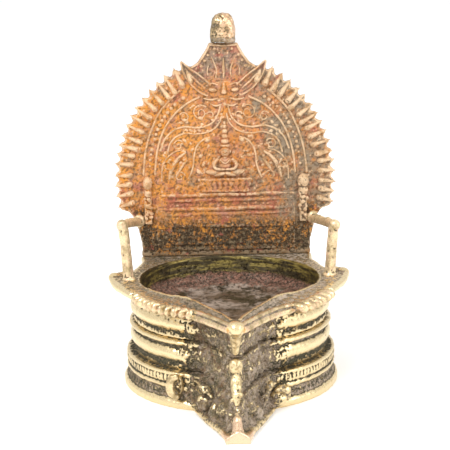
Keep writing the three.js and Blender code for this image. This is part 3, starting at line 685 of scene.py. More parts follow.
CAVITY_ROWS = [
    (RIM_TOP - 0.3, 38.4, 66.6, 17.6, 1.2),
    (RIM_TOP, 37.6, 65.6, 17.1, 1.0),
    (RIM_TOP - 0.4, OPENING_R, 64.5, 16.6, 0.8),
    (40.3, 36.4, 57.9, 14.4, 0.8),
    (36.1, 35.3, 49.1, 11, 0.8),
    (33.3, 31.9, 42, 9, 0.8),
    (31.5, 25.9, 33.1, 7, 0.8),
]


def mark_inside(bowl):
    """Stores which points lie on the lining of the opening."""
    rows = [CAVITY_ROWS[number] for number in (6, 5, 4, 3, 2)]
    heights = [row[0] for row in rows]
    plans = np.array([tier_plan(*row[1:]) for row in rows])
    layer = bowl.data.attributes.new("inside", "FLOAT", "POINT")
    for vertex, value in zip(bowl.data.vertices, layer.data):
        x, y, z = vertex.co.x / MM, vertex.co.y / MM - AXIS_Y, vertex.co.z / MM
        level = float(np.interp(z, heights, range(5)))
        below, share = int(min(level, 3)), level - int(min(level, 3))
        plan = plans[below] * (1 - share) + plans[below + 1] * share
        reach = np.interp(math.atan2(x, -y), BEARINGS, plan, period=2 * math.pi)
        inner = (reach + 1.3 - math.hypot(x, y)) / 0.6 if z > 30.4 else 0.0
        value.value = min(max(inner, 0.0), 1.0) if z < RIM_TOP - 0.15 else 0.0


def make_bowl():
    rim = rim_plan()
    under = [(29.1, disc(2)), (29.1, disc(25)), (BOWL_Z, disc(30.3)), (BOWL_Z - 3, disc(30.3)),
             (BOWL_Z - 3, disc(32.7)), (BOWL_Z, disc(32.7))]
    outside = [(RIM_UNDER, rim - 0.7), (RIM_UNDER + 0.6, rim), (RIM_TOP - 0.6, rim), (RIM_TOP, rim - 0.8)]
    inside = tier_levels(CAVITY_ROWS, 0) + [(31.0, disc(14)), (30.9, disc(2))]
    body = lofted(under + tier_levels(BOWL_ROWS, BOWL_Z) + outside + inside)
    ears = both([
        lump(EAR_X - 3.0, 5.6, RIM_TOP - 1.0, 3.0, 3.0, 2.2),
        lump(EAR_X - 5.6, 7.0, RIM_TOP - 0.6, 2.6, 2.2, 1.9),
        wire([(39.6, -21.6, 41.8), (43.4, -13.4, 41.8), (46.6, -6.0, 41.8), (EAR_X - 1.9, 3.0, 42.2)], 1.75,
             taper=[0.9, 1.0, 1.0, 0.9]),
    ])
    lip_knots = [(34.6, -14.5), (30.8, -21.5), (25.4, -28.2), (18.2, -33.6), (15.4, -37.0), (11.4, -44.2),
                 (7.0, -52.4), (3.2, -60.4), (1.4, -65.2)]
    lip = both([wire([(x, y, RIM_TOP - 0.2) for x, y in lip_knots], 0.95,
                     taper=[0.3, 0.8, 1, 1.25, 1, 1, 1, 1, 1])])
    nose = [lump(0, NOSE_Y + 3.4, RIM_TOP - 0.9, 3.2, 3.2, 2.3), lump(0, -68.5, RIM_TOP - 2.4, 3.4, 3.6, 2.6)]
    bowl = melt(joined([body] + ears + lip + nose), 0.54, 2)
    mark_inside(bowl)
    weigh(bowl, "prow", lambda x, y, z: on_prow(x, y, z) * (z < RIM_UNDER - 0.5))
    roughen(bowl, 4.6, 3.0, "prow")
    roughen(bowl, 1.6, 1.5, "prow")
    roughen(bowl, 3.0, 0.4)
    roughen(bowl, 1.2, 0.25)
    return finish(bowl, "bowl_casting", "bowl_brass", bowl_skin, "oil_bowl")


def make_edging(side, name, beads, beaded, swell):
    """A strip of two cords along the rim, with beads from the ear."""
    low = [(*edge_point(i / 20, 0.9)[:2], RIM_UNDER + 1.1) for i in range(21)]
    high = [(*edge_point(i / 20, 1.8)[:2], RIM_TOP - 0.4) for i in range(21)]
    thin = [1.0 if i / 20 < 1 - beaded else 0.55 for i in range(21)]
    parts = [wire(low, 1.3, taper=thin, steps=3), wire(high, 0.95, taper=thin, steps=3)]
    for i in range(beads):
        share = 1 - beaded * (i + 0.4) / beads
        x, y, angle = edge_point(share, 0.8)
        size = swell * chance.uniform(0.88, 1.12)
        bead = lump(0, -AXIS_Y, 0, 1.3 * size, 2.7 * size, 2.35, detail=2)
        bead.data.transform(Matrix.Rotation(angle + 0.25 + chance.uniform(-0.12, 0.12), 4, "Z"))
        bead.data.transform(Matrix.Translation(at(x, y, RIM_UNDER + 1.75)))
        parts.append(bead)
    strip = joined(parts)
    if side < 0:
        strip.data.transform(Matrix.Diagonal((-1, 1, 1, 1)))
        strip.data.flip_normals()
    strip = melt(strip, 0.3, 1)
    roughen(strip, 1.6, 0.3)
    return finish(strip, "edging_" + name, "bowl_brass", edging_skin, "rim_edging_" + name)


# ---------------------------------------------------------------------------------------
# Side stays
# ---------------------------------------------------------------------------------------
def make_stay(side, name, top_z):
    foot = (side * 41.9, -1.2, RIM_TOP - 0.2)
    top = (side * 43.7, -0.2, top_z - 0.6)
    head = (side * 38.9, FACE_Y - 0.2, 59.6)
    corner = (side * 43.7, -0.2, top_z - 2.1)
    parts = [
        beam(foot, top, 3.7, 3.7, 0.7, 0.94),
        beam(corner, head, 3.3, 3.1, 0.7, 1.1),
        lump(side * 41.8, -1.2, RIM_TOP, 2.9, 2.9, 1.3),
        lump(side * 44.1, -0.6, top_z - 2.2, 2.3, 2.2, 2.4),
        lump(side * 38.6, FACE_Y - 1.4, 60.2, 2.6, 1.8, 3.0),
    ]
    for i in range(11):
        share = (i + 0.5) / 11
        x, y, z = (a + (b - a) * share for a, b in zip(corner, head))
        size = chance.uniform(0.75, 1.15)
        parts.append(lump(x + chance.uniform(-0.8, 0.8), y, z + 1.5, 1.0 * size, 1.1 * size, 0.9 * size, detail=2))
    stay = melt(joined(parts), 0.36, 2)
    roughen(stay, 2.0, 0.5)
    return finish(stay, "stay_casting_" + name, "worn_brass", stay_skin, "stay_" + name)


# ---------------------------------------------------------------------------------------
# Back plate: body, teeth, neck, scrolls
# ---------------------------------------------------------------------------------------
TEETH = 17
FIRST_TOOTH, LAST_TOOTH = -0.323, 1.21


def arch_point(angle, radius):
    return radius * math.cos(angle), ARCH_Z + radius * math.sin(angle)


def tooth_tip(number):
    angle = FIRST_TOOTH + (LAST_TOOTH - FIRST_TOOTH) * number / (TEETH - 1)
    return angle, ARCH_R + 2.6 * ((angle - 0.47) / 0.785) ** 2


def plate_outline():
    shoulder_x, shoulder_z = arch_point(*tooth_tip(0))
    right = [(37.4, RIM_TOP + 0.3), (37.6, 50), (39.2, 56.5), (40.8, 61.4), (43.0, 64.0), (shoulder_x - 1.2, shoulder_z - 1.2)]
    step = (LAST_TOOTH - FIRST_TOOTH) / (TEETH - 1)
    for i in range(TEETH):
        angle, radius = tooth_tip(i)
        right += [arch_point(angle - step * 0.16, radius - 1.0), arch_point(angle, radius - 0.5),
                  arch_point(angle + step * 0.16, radius - 1.0)]
        if i < TEETH - 1:
            right += [arch_point(angle + step * 0.36, radius - 2.3), arch_point(angle + step * 0.64, radius - 2.3)]
    right += [(14.6, 127.4), (11.4, 129.3), (9.2, 132.2), (7.5, 135.0), (6.1, NECK_TOP)]
    return right + [(-x, z) for x, z in reversed(right)]


def make_plate():
    outline = plate_outline()
    body = slab(outline, FACE_Y + 0.1, BACK_Y)
    plinth = block(0, (FACE_Y + BACK_Y) / 2, RIM_TOP + 1.2, 75.5, 3.2, 2.4, bevel=0.6)
    plate = melt(joined([body, plinth]), 0.52, 1)
    roughen(plate, 2.2, 0.5)
    roughen(plate, 0.9, 0.22)
    return finish(plate, "plate_casting", "powdered_brass", plate_skin, "back_plate")


def make_teeth():
    fins = []
    for i in range(TEETH):
        angle, radius = tooth_tip(i)
        for side in (-1, 1):
            lean = angle + chance.uniform(-0.012, 0.012)
            inner = radius - chance.uniform(7.6, 8.8) * (1.0 if i > 5 else 0.86)
            x0, z0 = arch_point(lean, inner)
            x1, z1 = arch_point(lean, radius + 0.05)
            fat = chance.uniform(0.92, 1.12)
            fins.append(thorn((side * x0, FACE_Y - 0.5, z0), (side * x1, FACE_Y + 0.7, z1), 1.35 * fat, 0.28))
            fins.append(lump(side * x0, FACE_Y - 0.35, z0, 1.35 * fat, 1.1, 1.35 * fat, detail=2))
    teeth = melt(joined(fins), 0.36, 1)
    roughen(teeth, 1.2, 0.3)
    return finish(teeth, "plate_teeth", "powdered_brass", ridge_skin)


def thread(knots, radius=0.5, rise=0.0, taper=None):
    """A raised line on the plate's face through (x, z) knots."""
    return wire([(x, FACE_Y - rise, z) for x, z in knots], radius, taper=taper, steps=8)


def curl(x, z, radius, turns, start, way):
    """A spiral on the plate's face."""
    knots = []
    steps = int(10 * turns)
    for i in range(steps + 1):
        share = i / steps
        angle = start + way * share * turns * 2 * math.pi
        far = radius * (1 - 0.78 * share)
        knots.append((x + far * math.cos(angle), z + far * math.sin(angle)))
    return thread(knots, 0.42, taper=[1 - 0.4 * i / steps for i in range(steps + 1)])


def make_scrolls():
    """The raised lines cast in one with the plate: scrolls, inner arch, neck and foliage."""
    parts = both([
        thread([(1.6, 111.2), (2.6, 107.2), (5.0, 103.4), (10.7, 101.2), (19.0, 101.4), (25.4, 97.4), (28.4, 91.0)], 0.5),
        thread([(0.9, 107.4), (2.6, 102.6), (6.0, 99.6), (11.5, 98.4), (18.0, 98.6), (23.4, 95.2), (25.4, 89.6)], 0.45),
        thread([(6.4, 96.8), (9.4, 95.8), (12.4, 92.6), (13.6, 88.4), (14.0, 84.4), (15.2, 80.6), (16.2, 78.4)], 0.5),
        curl(10.4, 107.6, 3.6, 1.4, 2.4, -1),
        curl(17.6, 105.6, 2.4, 1.2, 0.6, 1),
        curl(20.4, 93.4, 2.5, 1.3, 2.6, -1),
        curl(25.6, 84.2, 2.2, 1.2, 0.4, 1),
        curl(20.0, 79.4, 2.4, 1.2, 3.0, -1),
        curl(6.0, 106.4, 1.8, 1.0, 0.2, 1),
        thread([(17.0, 90.4), (20.6, 87.6), (23.6, 83.0), (24.8, 78.4)], 0.85, taper=[0.5, 1.1, 1.2, 0.6]),
        thread([(16.4, 87.0), (19.0, 84.2), (20.8, 80.6)], 0.75, taper=[0.4, 1.1, 0.5]),
        thread([(18.8, 91.6), (22.6, 90.2), (26.2, 87.0), (27.8, 82.4), (28.0, 77.6)], 0.42),
        thread([(14.0, 127.2), (11.0, 129.0), (8.7, 132.0), (7.0, 134.8), (5.9, 136.9)], 0.5, rise=0.25),
        thread([(3.4, 122.6), (3.0, 126.0), (4.2, 129.6), (5.4, 132.4)], 0.4, taper=[1, 1, 0.8, 0.4]),
        thread([(6.8, 123.6), (7.0, 126.4), (5.9, 128.8)], 0.36, taper=[1, 0.9, 0.4]),
        lump(7.6, FACE_Y, 95.6, 1.3, 0.9, 1.3, detail=2),
        lump(6.6, FACE_Y, 132.6, 0.7, 0.6, 0.7, detail=2),
        lump(8.2, FACE_Y, 130.2, 0.8, 0.6, 0.7, detail=2),
        lump(3.8, FACE_Y, 135.2, 0.8, 0.6, 0.7, detail=2),
        lump(9.6, FACE_Y, 127.8, 0.9, 0.7, 0.7, detail=2),
        lump(1.8, FACE_Y, 133.4, 0.5, 0.5, 0.7, detail=2),
        lump(10.6, FACE_Y, 88.6, 1.2, 0.9, 0.9, turn=0.6, detail=2),
        lump(9.4, FACE_Y, 84.8, 0.9, 0.8, 1.6, turn=-0.4, detail=2),
        lump(11.6, FACE_Y, 81.4, 1.0, 0.8, 1.5, turn=0.5, detail=2),
    ])
    parts.append(thread([(-5.9, 136.9), (0, 136.6), (5.9, 136.9)], 0.5, rise=0.25))
    for _ in range(110):
        angle, far = chance.uniform(-0.05, math.pi + 0.05), 31 * math.sqrt(chance.random())
        x, z = far * math.cos(angle), 80 + 1.1 * far * math.sin(angle)
        size = chance.uniform(0.4, 0.85)
        parts.append(lump(x, FACE_Y + 0.2, z, size, 0.6, size * chance.uniform(0.8, 1.6),
                          turn=chance.uniform(0, math.pi), detail=2))
    scrolls = melt(joined(parts), 0.3, 1)
    roughen(scrolls, 1.0, 0.25)
    return finish(scrolls, "plate_scrolls", "powdered_brass", ridge_skin)


# ---------------------------------------------------------------------------------------
# Castings on the plate
# ---------------------------------------------------------------------------------------
def make_arch(side, name):
    outer = [(19.0, 117.6), (24.2, 113.0), (28.4, 107.9), (31.2, 102.4), (33.6, 95.8), (35.2, 88.6), (36.1, 80.4)]
    inner = [(10.6, 114.6), (16.8, 111.4), (22.4, 106.4), (26.2, 101.0), (28.8, 94.6), (30.2, 88.2), (31.0, 80.4)]
    parts = [thread(outer, 0.55, rise=0.15), thread(inner, 0.55, rise=0.15)]
    middle = smooth_line([((a + c) / 2, (b + d) / 2) for (a, b), (c, d) in zip(outer, inner)], 6)
    for i, (x, z) in enumerate(middle[3:-2]):
        if i % 2 == 0:
            size = chance.uniform(0.6, 0.95)
            parts.append(lump(x, FACE_Y - 0.1, z, size, 0.65, size, detail=2))
    for x, z in smooth_line([(x + 2.2, z + 0.7) for x, z in outer], 5)[::2]:
        parts.append(lump(x, FACE_Y, z, 0.45, 0.45, 0.45, detail=2))
    moulding = joined(parts)
    if side < 0:
        moulding.data.transform(Matrix.Diagonal((-1, 1, 1, 1)))
        moulding.data.flip_normals()
    moulding = melt(moulding, 0.3, 1)
    roughen(moulding, 1.0, 0.2)
    return finish(moulding, "arch_" + name, "powdered_brass", ridge_skin, "arch_moulding_" + name)


def make_mask():
    wing = [(5.6, 119.6), (10.0, 123.6), (14.4, 126.8), (18.4, 130.0), (17.4, 125.4), (14.4, 120.4), (10.6, 116.8), (7.0, 115.0)]
    parts = both([
        slab(wing, FACE_Y - 0.5, FACE_Y + 0.4),
        thread(wing[:4], 0.5, rise=0.5),
        thread([wing[7], wing[6], wing[5], wing[4], wing[3]], 0.5, rise=0.5),
        thread([(8.2, 118.4), (12.0, 121.8), (15.6, 125.6)], 0.5, rise=0.5, taper=[0.6, 1, 0.4]),
        lump(4.8, FACE_Y - 0.9, 117.6, 1.6, 0.9, 0.85, turn=-0.15),
        thread([(2.8, 119.8), (5.2, 120.5), (7.6, 119.3)], 0.4, rise=0.6, taper=[0.6, 1, 0.5]),
        thread([(2.6, 113.8), (5.4, 113.3), (9.0, 113.9)], 0.55, rise=0.5, taper=[0.7, 1, 0.5]),
        thread([(1.0, 111.2), (3.6, 110.6), (6.2, 111.6)], 0.5, rise=0.4, taper=[0.8, 1, 0.4]),
    ])
    parts += [
        lump(0, FACE_Y, 117.4, 7.6, 0.8, 4.0),
        thorn((0, FACE_Y - 0.8, 116.2), (0, FACE_Y - 0.6, 120.6), 1.25, 0.35),
        lump(0, FACE_Y - 0.9, 116.4, 1.3, 1.0, 0.8),
        thread([(0, 122.6), (0, 127.0), (0, 131.4)], 0.7, rise=0.2, taper=[0.7, 1, 0.4]),
    ]
    mask = melt(joined(parts), 0.3, 1)
    roughen(mask, 1.0, 0.2)
    return finish(mask, "lion_mask", "powdered_brass", ridge_skin, "crest_mask")


def make_figure():
    """A seated figure with a calm, plain face, a tall crown and its hands in its lap."""
    front = FACE_Y
    parts = both([
        lump(4.4, front - 0.6, 81.1, 4.3, 1.7, 1.5, turn=-0.12),
        lump(2.2, front - 1.5, 80.6, 2.9, 1.1, 1.0, turn=0.2),
        wire([(2.9, front - 0.5, 87.2), (4.7, front - 0.8, 85.2), (4.5, front - 1.3, 83.4), (2.2, front - 2.0, 82.6)],
             0.85, taper=[1.1, 1, 0.9, 0.8]),
        lump(1.4, front - 2.1, 82.7, 1.5, 0.7, 0.6),
        lump(2.15, front - 0.7, 90.4, 0.5, 0.7, 1.0),
        lump(0.8, front - 2.66, 90.9, 0.46, 0.22, 0.22, detail=2),
        thread([(0.35, 91.5), (0.9, 91.75), (1.4, 91.45)], 0.16, rise=2.4),
    ])
    parts += [
        lump(0, front - 0.4, 84.2, 2.5, 1.6, 2.6),
        lump(0, front - 0.5, 86.3, 3.0, 1.5, 1.6),
        lump(0, front - 0.6, 87.9, 1.1, 1.2, 0.9),
        lump(0, front - 0.9, 90.5, 1.95, 1.9, 2.45),
        thorn((0, front - 2.7, 91.2), (0, front - 3.0, 90.0), 0.16, 0.34),
        lump(0, front - 2.62, 89.3, 0.6, 0.25, 0.18, detail=2),
        lump(0, front - 0.9, 93.1, 2.25, 1.7, 0.7),
        lump(0, front - 0.8, 95.0, 1.7, 1.5, 1.25),
        lump(0, front - 0.7, 97.2, 1.3, 1.3, 1.15),
        lump(0, front - 0.6, 99.4, 1.25, 1.1, 1.05),
        lump(0, front - 0.5, 101.5, 0.85, 0.9, 1.0),
        lump(0, front - 0.4, 103.0, 0.55, 0.7, 0.9),
        thread([(-2.3, 87.0), (0, 85.4), (2.3, 87.0)], 0.3, rise=1.9),
    ]
    figure = melt(joined(parts), 0.2, 1)
    return finish(figure, "figure", "powdered_brass", figure_skin, "seated_figure")


def make_seat():
    parts = [
        block(0, FACE_Y - 0.1, 77.9, 24, 2.4, 1.3, bevel=0.5),
        block(0, FACE_Y - 0.1, 72.9, 21, 2.4, 1.2, bevel=0.5),
        block(0, FACE_Y + 0.2, 75.4, 20, 1.8, 5, bevel=0.3),
    ]
    for i in range(9):
        x = (i - 4) * 2.5
        size = chance.uniform(0.85, 1.1)
        parts.append(lump(x * 1.02, FACE_Y - 0.6, 76.2, 1.25 * size, 0.8, 1.6 * size))
        parts.append(lump(x * 0.93, FACE_Y - 0.5, 74.2, 1.05 * size, 0.7, 1.2 * size))
    seat = melt(joined(parts), 0.34, 3)
    roughen(seat, 1.6, 0.7)
    return finish(seat, "lotus", "powdered_brass", crust_skin, "lotus_seat")


def make_throne():
    low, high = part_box("throne_panel")
    half, bottom, top = high.x / MM, low.z / MM, high.z / MM
    parts = [block(0, FACE_Y + 0.62, (bottom + top) / 2, 2 * half, 1.1, top - bottom, bevel=0.4)]
    for z, rise in ((top - 0.8, 0.5), (top - 3.2, 0.3), (top - 7.0, 0.55), (top - 9.4, 0.25),
                    (top - 15.0, 0.3), (bottom + 3.2, 0.35), (bottom + 0.9, 0.5)):
        knots = [(side * half * share, FACE_Y + 0.1 + chance.uniform(-0.12, 0.12), z + chance.uniform(-0.25, 0.25))
                 for side, share in ((-1, 0.97), (-1, 0.66), (-1, 0.33), (1, 0.0), (1, 0.33), (1, 0.66), (1, 0.97))]
        parts.append(wire(knots, rise + 0.45, taper=[0.2, 0.9, 1, 1, 1, 0.9, 0.2]))
    throne = melt(joined(parts), 0.42, 3)
    roughen(throne, 3.0, 0.7)
    roughen(throne, 1.2, 0.4)
    return finish(throne, "throne_casting", "powdered_brass", crust_skin, "throne_panel")


def make_pilaster(side, name, wide):
    low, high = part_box("pilaster_" + name)
    x, bottom, top = (low.x + high.x) / 2 / MM, low.z / MM, high.z / MM
    parts = [block(x, FACE_Y - 0.5, (bottom + top) / 2 - 1.5, 3.2, 2.0, top - bottom - 3, bevel=0.5),
             lump(x, FACE_Y - 1.1, top - 3.0, wide, 1.9, 3.2), lump(x, FACE_Y - 1.0, top - 7.6, wide * 0.85, 1.7, 2.4)]
    for _ in range(26):
        size = chance.uniform(0.5, 1.0)
        z = chance.uniform(bottom + 1, top - 0.8)
        parts.append(lump(x + chance.uniform(-1.7, 1.7), FACE_Y - 1.8 + chance.uniform(-0.4, 0.5), z,
                          size, 0.8 * size, size, detail=2))
    pilaster = melt(joined(parts), 0.3, 1)
    roughen(pilaster, 1.2, 0.3)
    return finish(pilaster, "beast_" + name, "powdered_brass", beast_skin, "pilaster_" + name)


def make_finial():
    """A domed knob, turned by spinning its profile and then pitted."""
    profile = [(0.0, 0.0), (5.3, 0.0), (5.4, 0.8), (5.3, 1.8), (5.4, 3.6), (5.3, 5.6), (5.05, 7.4),
               (4.6, 9.2), (3.8, 10.8), (2.6, 12.0), (0.0, LAMP_TOP - NECK_TOP - SEAM)]
    middle = (FACE_Y + BACK_Y) / 2
    pick_none()
    bpy.ops.mesh.primitive_circle_add(vertices=len(profile), radius=MM, enter_editmode=True)
    obj = bpy.context.object
    mesh = bmesh.from_edit_mesh(obj.data)
    ring = sorted(mesh.verts, key=lambda vertex: math.atan2(vertex.co.y, vertex.co.x))
    for vertex, (far, rise) in zip(ring, profile):
        vertex.co = at(far, middle, NECK_TOP + SEAM + rise)
    bmesh.update_edit_mesh(obj.data)
    bpy.ops.mesh.spin(steps=40, angle=2 * math.pi, center=at(0, middle, NECK_TOP), axis=(0, 0, 1))
    bpy.ops.mesh.select_all(action="SELECT")
    bpy.ops.mesh.remove_doubles(threshold=0.02 * MM)
    bpy.ops.mesh.normals_make_consistent(inside=False)
    bpy.ops.object.mode_set(mode="OBJECT")
    middle_y = at(0, middle, 0).y
    obj.data.transform(Matrix.Translation((0, middle_y, 0)) @ Matrix.Diagonal((1, 0.8, 1, 1)) @ Matrix.Translation((0, -middle_y, 0)))
    knob = melt(obj, 0.34, 1)
    roughen(knob, 3.4, 1.1)
    roughen(knob, 1.1, 0.55)
    return finish(knob, "finial_casting", "worn_brass", finial_skin, "finial")

# ---------------------------------------------------------------------------------------
# Skins. Lengths are in millimetres; colours are linear.
# ---------------------------------------------------------------------------------------
POLISHED = (0.84, 0.67, 0.39)
BLUSHED = (0.86, 0.60, 0.40)
COPPERY = (0.80, 0.47, 0.25)
DULL = (0.42, 0.315, 0.165)
# Near black for grime, also laid on the pedestal as painted shade in its grooves and towards its prow.
BLACK_GRIME_AND_SHADE = (0.034, 0.033, 0.022)
MOSS = (0.115, 0.100, 0.055)
EARTH = (0.215, 0.148, 0.078)
RUSSET = (0.200, 0.115, 0.060)
CRUST = (0.360, 0.280, 0.210)
ASH = (0.560, 0.450, 0.350)
ORANGE = (0.74, 0.285, 0.060)
TURMERIC = (0.92, 0.430, 0.050)
CLAY = (0.57, 0.275, 0.130)
VERMILION = (0.47, 0.130, 0.090)
ROSE = (0.58, 0.285, 0.205)
OLIVE = (0.30, 0.220, 0.120)
SLATE = (0.250, 0.215, 0.160)
UMBER = (0.120, 0.068, 0.030)
SOOT = (0.022, 0.017, 0.010)


def new_skin(name):
    material = bpy.data.materials.new(name)
    material.use_nodes = True
    return material, material.node_tree


def put(tree, kind, sockets, result=0, **settings):
    """Adds a node, feeds its sockets from numbers or from other nodes, and gives one output."""
    node = tree.nodes.new("ShaderNode" + kind)
    for key, value in settings.items():
        setattr(node, key, value)
    for key, value in sockets.items():
        if isinstance(value, bpy.types.NodeSocket):
            tree.links.new(value, node.inputs[key])
        else:
            node.inputs[key].default_value = value
    return node.outputs[result]


def place(tree):
    return put(tree, "TexCoord", {}, "Object")


def cloud(tree, size, detail=5, rough=0.6, shift=0.0):
    """Cloudy noise with patches of about this size, from 0 to 1."""
    spot = put(tree, "Mapping", {0: place(tree), 1: (shift, shift * 0.7, -shift)})
    return put(tree, "TexNoise", {"Vector": spot, "Scale": 1 / (size * MM), "Detail": detail, "Roughness": rough})


def along(tree, axis):
    """A coordinate in millimetres."""
    parts = put(tree, "SeparateXYZ", {0: place(tree)}, axis)
    return put(tree, "Math", {0: parts, 1: 1 / MM}, operation="MULTIPLY")


def times(tree, a, b):
    return put(tree, "Math", {0: a, 1: b}, operation="MULTIPLY")


def plus(tree, *values):
    total = values[0]
    for value in values[1:]:
        total = put(tree, "Math", {0: total, 1: value}, operation="ADD")
    return total


def size_of(tree, value):
    return put(tree, "Math", {0: value}, operation="ABSOLUTE")


def ease(tree, value, low, high, bottom=0.0, top=1.0):
    """Goes smoothly from bottom to top as the value goes from low to high."""
    return put(tree, "MapRange", {"Value": value, "From Min": low, "From Max": high, "To Min": bottom, "To Max": top},
               interpolation_type="SMOOTHSTEP")


def carved(tree, name):
    """How hollow the surface is: 1 in a hollow, -1 on a ridge."""
    return put(tree, "Attribute", {}, "Fac", attribute_name=name)


def tint(colour):
    return (*colour, 1.0)


def cover(tree, under, over, share):
    """One colour over another."""
    colours = {0: share}
    for key, colour in ((6, under), (7, over)):
        colours[key] = colour if isinstance(colour, bpy.types.NodeSocket) else tint(colour)
    return put(tree, "Mix", colours, 2, data_type="RGBA")


def between(tree, a, b, share):
    return put(tree, "Mix", {0: share, 2: a, 3: b}, 0, data_type="FLOAT")


def grain_of(tree, *layers):
    """A bump from (height in millimetres, noise) layers."""
    normal = None
    for depth, value in layers:
        sockets = {"Height": value, "Distance": depth * MM, "Strength": 1.0}
        if normal:
            sockets["Normal"] = normal
        normal = put(tree, "Bump", sockets)
    return normal


def surface(tree, colour, metal, rough, normal):
    shader = tree.nodes["Principled BSDF"]
    tree.links.new(colour, shader.inputs["Base Color"])
    tree.links.new(metal, shader.inputs["Metallic"])
    tree.links.new(rough, shader.inputs["Roughness"])
    tree.links.new(normal, shader.inputs["Normal"])
    shader.inputs["Specular IOR Level"].default_value = 0.3


def old_brass(tree, grime_and_shade_mask, crust, dull, polished=POLISHED, metallic=0.95):
    """Polished brass that goes dull, then black with grime (and with painted shade where a caller's mask carries it),
    then earthy and grey with crust.
    """
    fine = cloud(tree, 0.7, 6, 0.7)
    pits = cloud(tree, 0.45, 4, 0.6, 0.31)
    clots = cloud(tree, 2.4, 7, 0.75, 0.5)
    metal_colour = cover(tree, polished, DULL, dull)
    # This near-black layer is grime, and on the pedestal also painted shade from its groove and prow-corner masks.
    dark = cover(tree, BLACK_GRIME_AND_SHADE, MOSS, ease(tree, fine, 0.46, 0.58))
    dark = cover(tree, dark, CRUST, ease(tree, cloud(tree, 0.8, 5, 0.7, 0.66), 0.56, 0.66))
    right = ease(tree, along(tree, "X"), -8, 12, 0, 0.055)
    grey = cover(tree, EARTH, CRUST, ease(tree, plus(tree, clots, right), 0.45, 0.58))
    grey = cover(tree, grey, RUSSET, ease(tree, plus(tree, cloud(tree, 7.0, 6, 0.7, 0.22), times(tree, right, -1.0)), 0.49, 0.57, 0, 0.85))
    grey = cover(tree, grey, MOSS, ease(tree, plus(tree, cloud(tree, 5.0, 8, 0.78, 0.35), times(tree, right, -0.4)), 0.485, 0.55, 0, 0.85))
    grey = cover(tree, grey, BLACK_GRIME_AND_SHADE, ease(tree, cloud(tree, 2.6, 8, 0.85, 0.8), 0.515, 0.58, 0, 0.9))
    pale = plus(tree, times(tree, cloud(tree, 3.2, 8, 0.8, 0.12), 0.7), times(tree, fine, 0.3), right)
    grey = cover(tree, grey, ASH, ease(tree, pale, 0.52, 0.6, 0, 0.8))
    grey = cover(tree, grey, SOOT, ease(tree, cloud(tree, 0.7, 6, 0.85, 0.45), 0.55, 0.63, 0, 0.65))
    grey = cover(tree, grey, ASH, ease(tree, cloud(tree, 0.6, 6, 0.8, 0.9), 0.55, 0.64))
    grey = cover(tree, grey, DULL, ease(tree, cloud(tree, 1.1, 6, 0.75, 0.25), 0.54, 0.64))
    colour = cover(tree, metal_colour, dark, grime_and_shade_mask)
    colour = cover(tree, colour, grey, crust)
    bare = times(tree, put(tree, "Math", {0: 1.0, 1: grime_and_shade_mask}, operation="SUBTRACT"),
                 put(tree, "Math", {0: 1.0, 1: crust}, operation="SUBTRACT"))
    metal = between(tree, 0.05, metallic, bare)
    rough = between(tree, 0.78, 0.29, bare)
    rough = plus(tree, rough, times(tree, dull, 0.14), ease(tree, pits, 0.35, 0.65, -0.06, 0.08))
    coarse = between(tree, 1.0, 0.16, bare)
    normal = grain_of(tree, (0.5, times(tree, clots, coarse)), (0.3, times(tree, fine, coarse)),
                      (0.12, times(tree, pits, coarse)))
    surface(tree, colour, metal, rough, normal)


def band(tree, height, low, high, soft=0.8):
    """1 between two heights, fading out beyond them."""
    return times(tree, ease(tree, height, low - soft, low + soft), ease(tree, height, high + soft, high - soft))


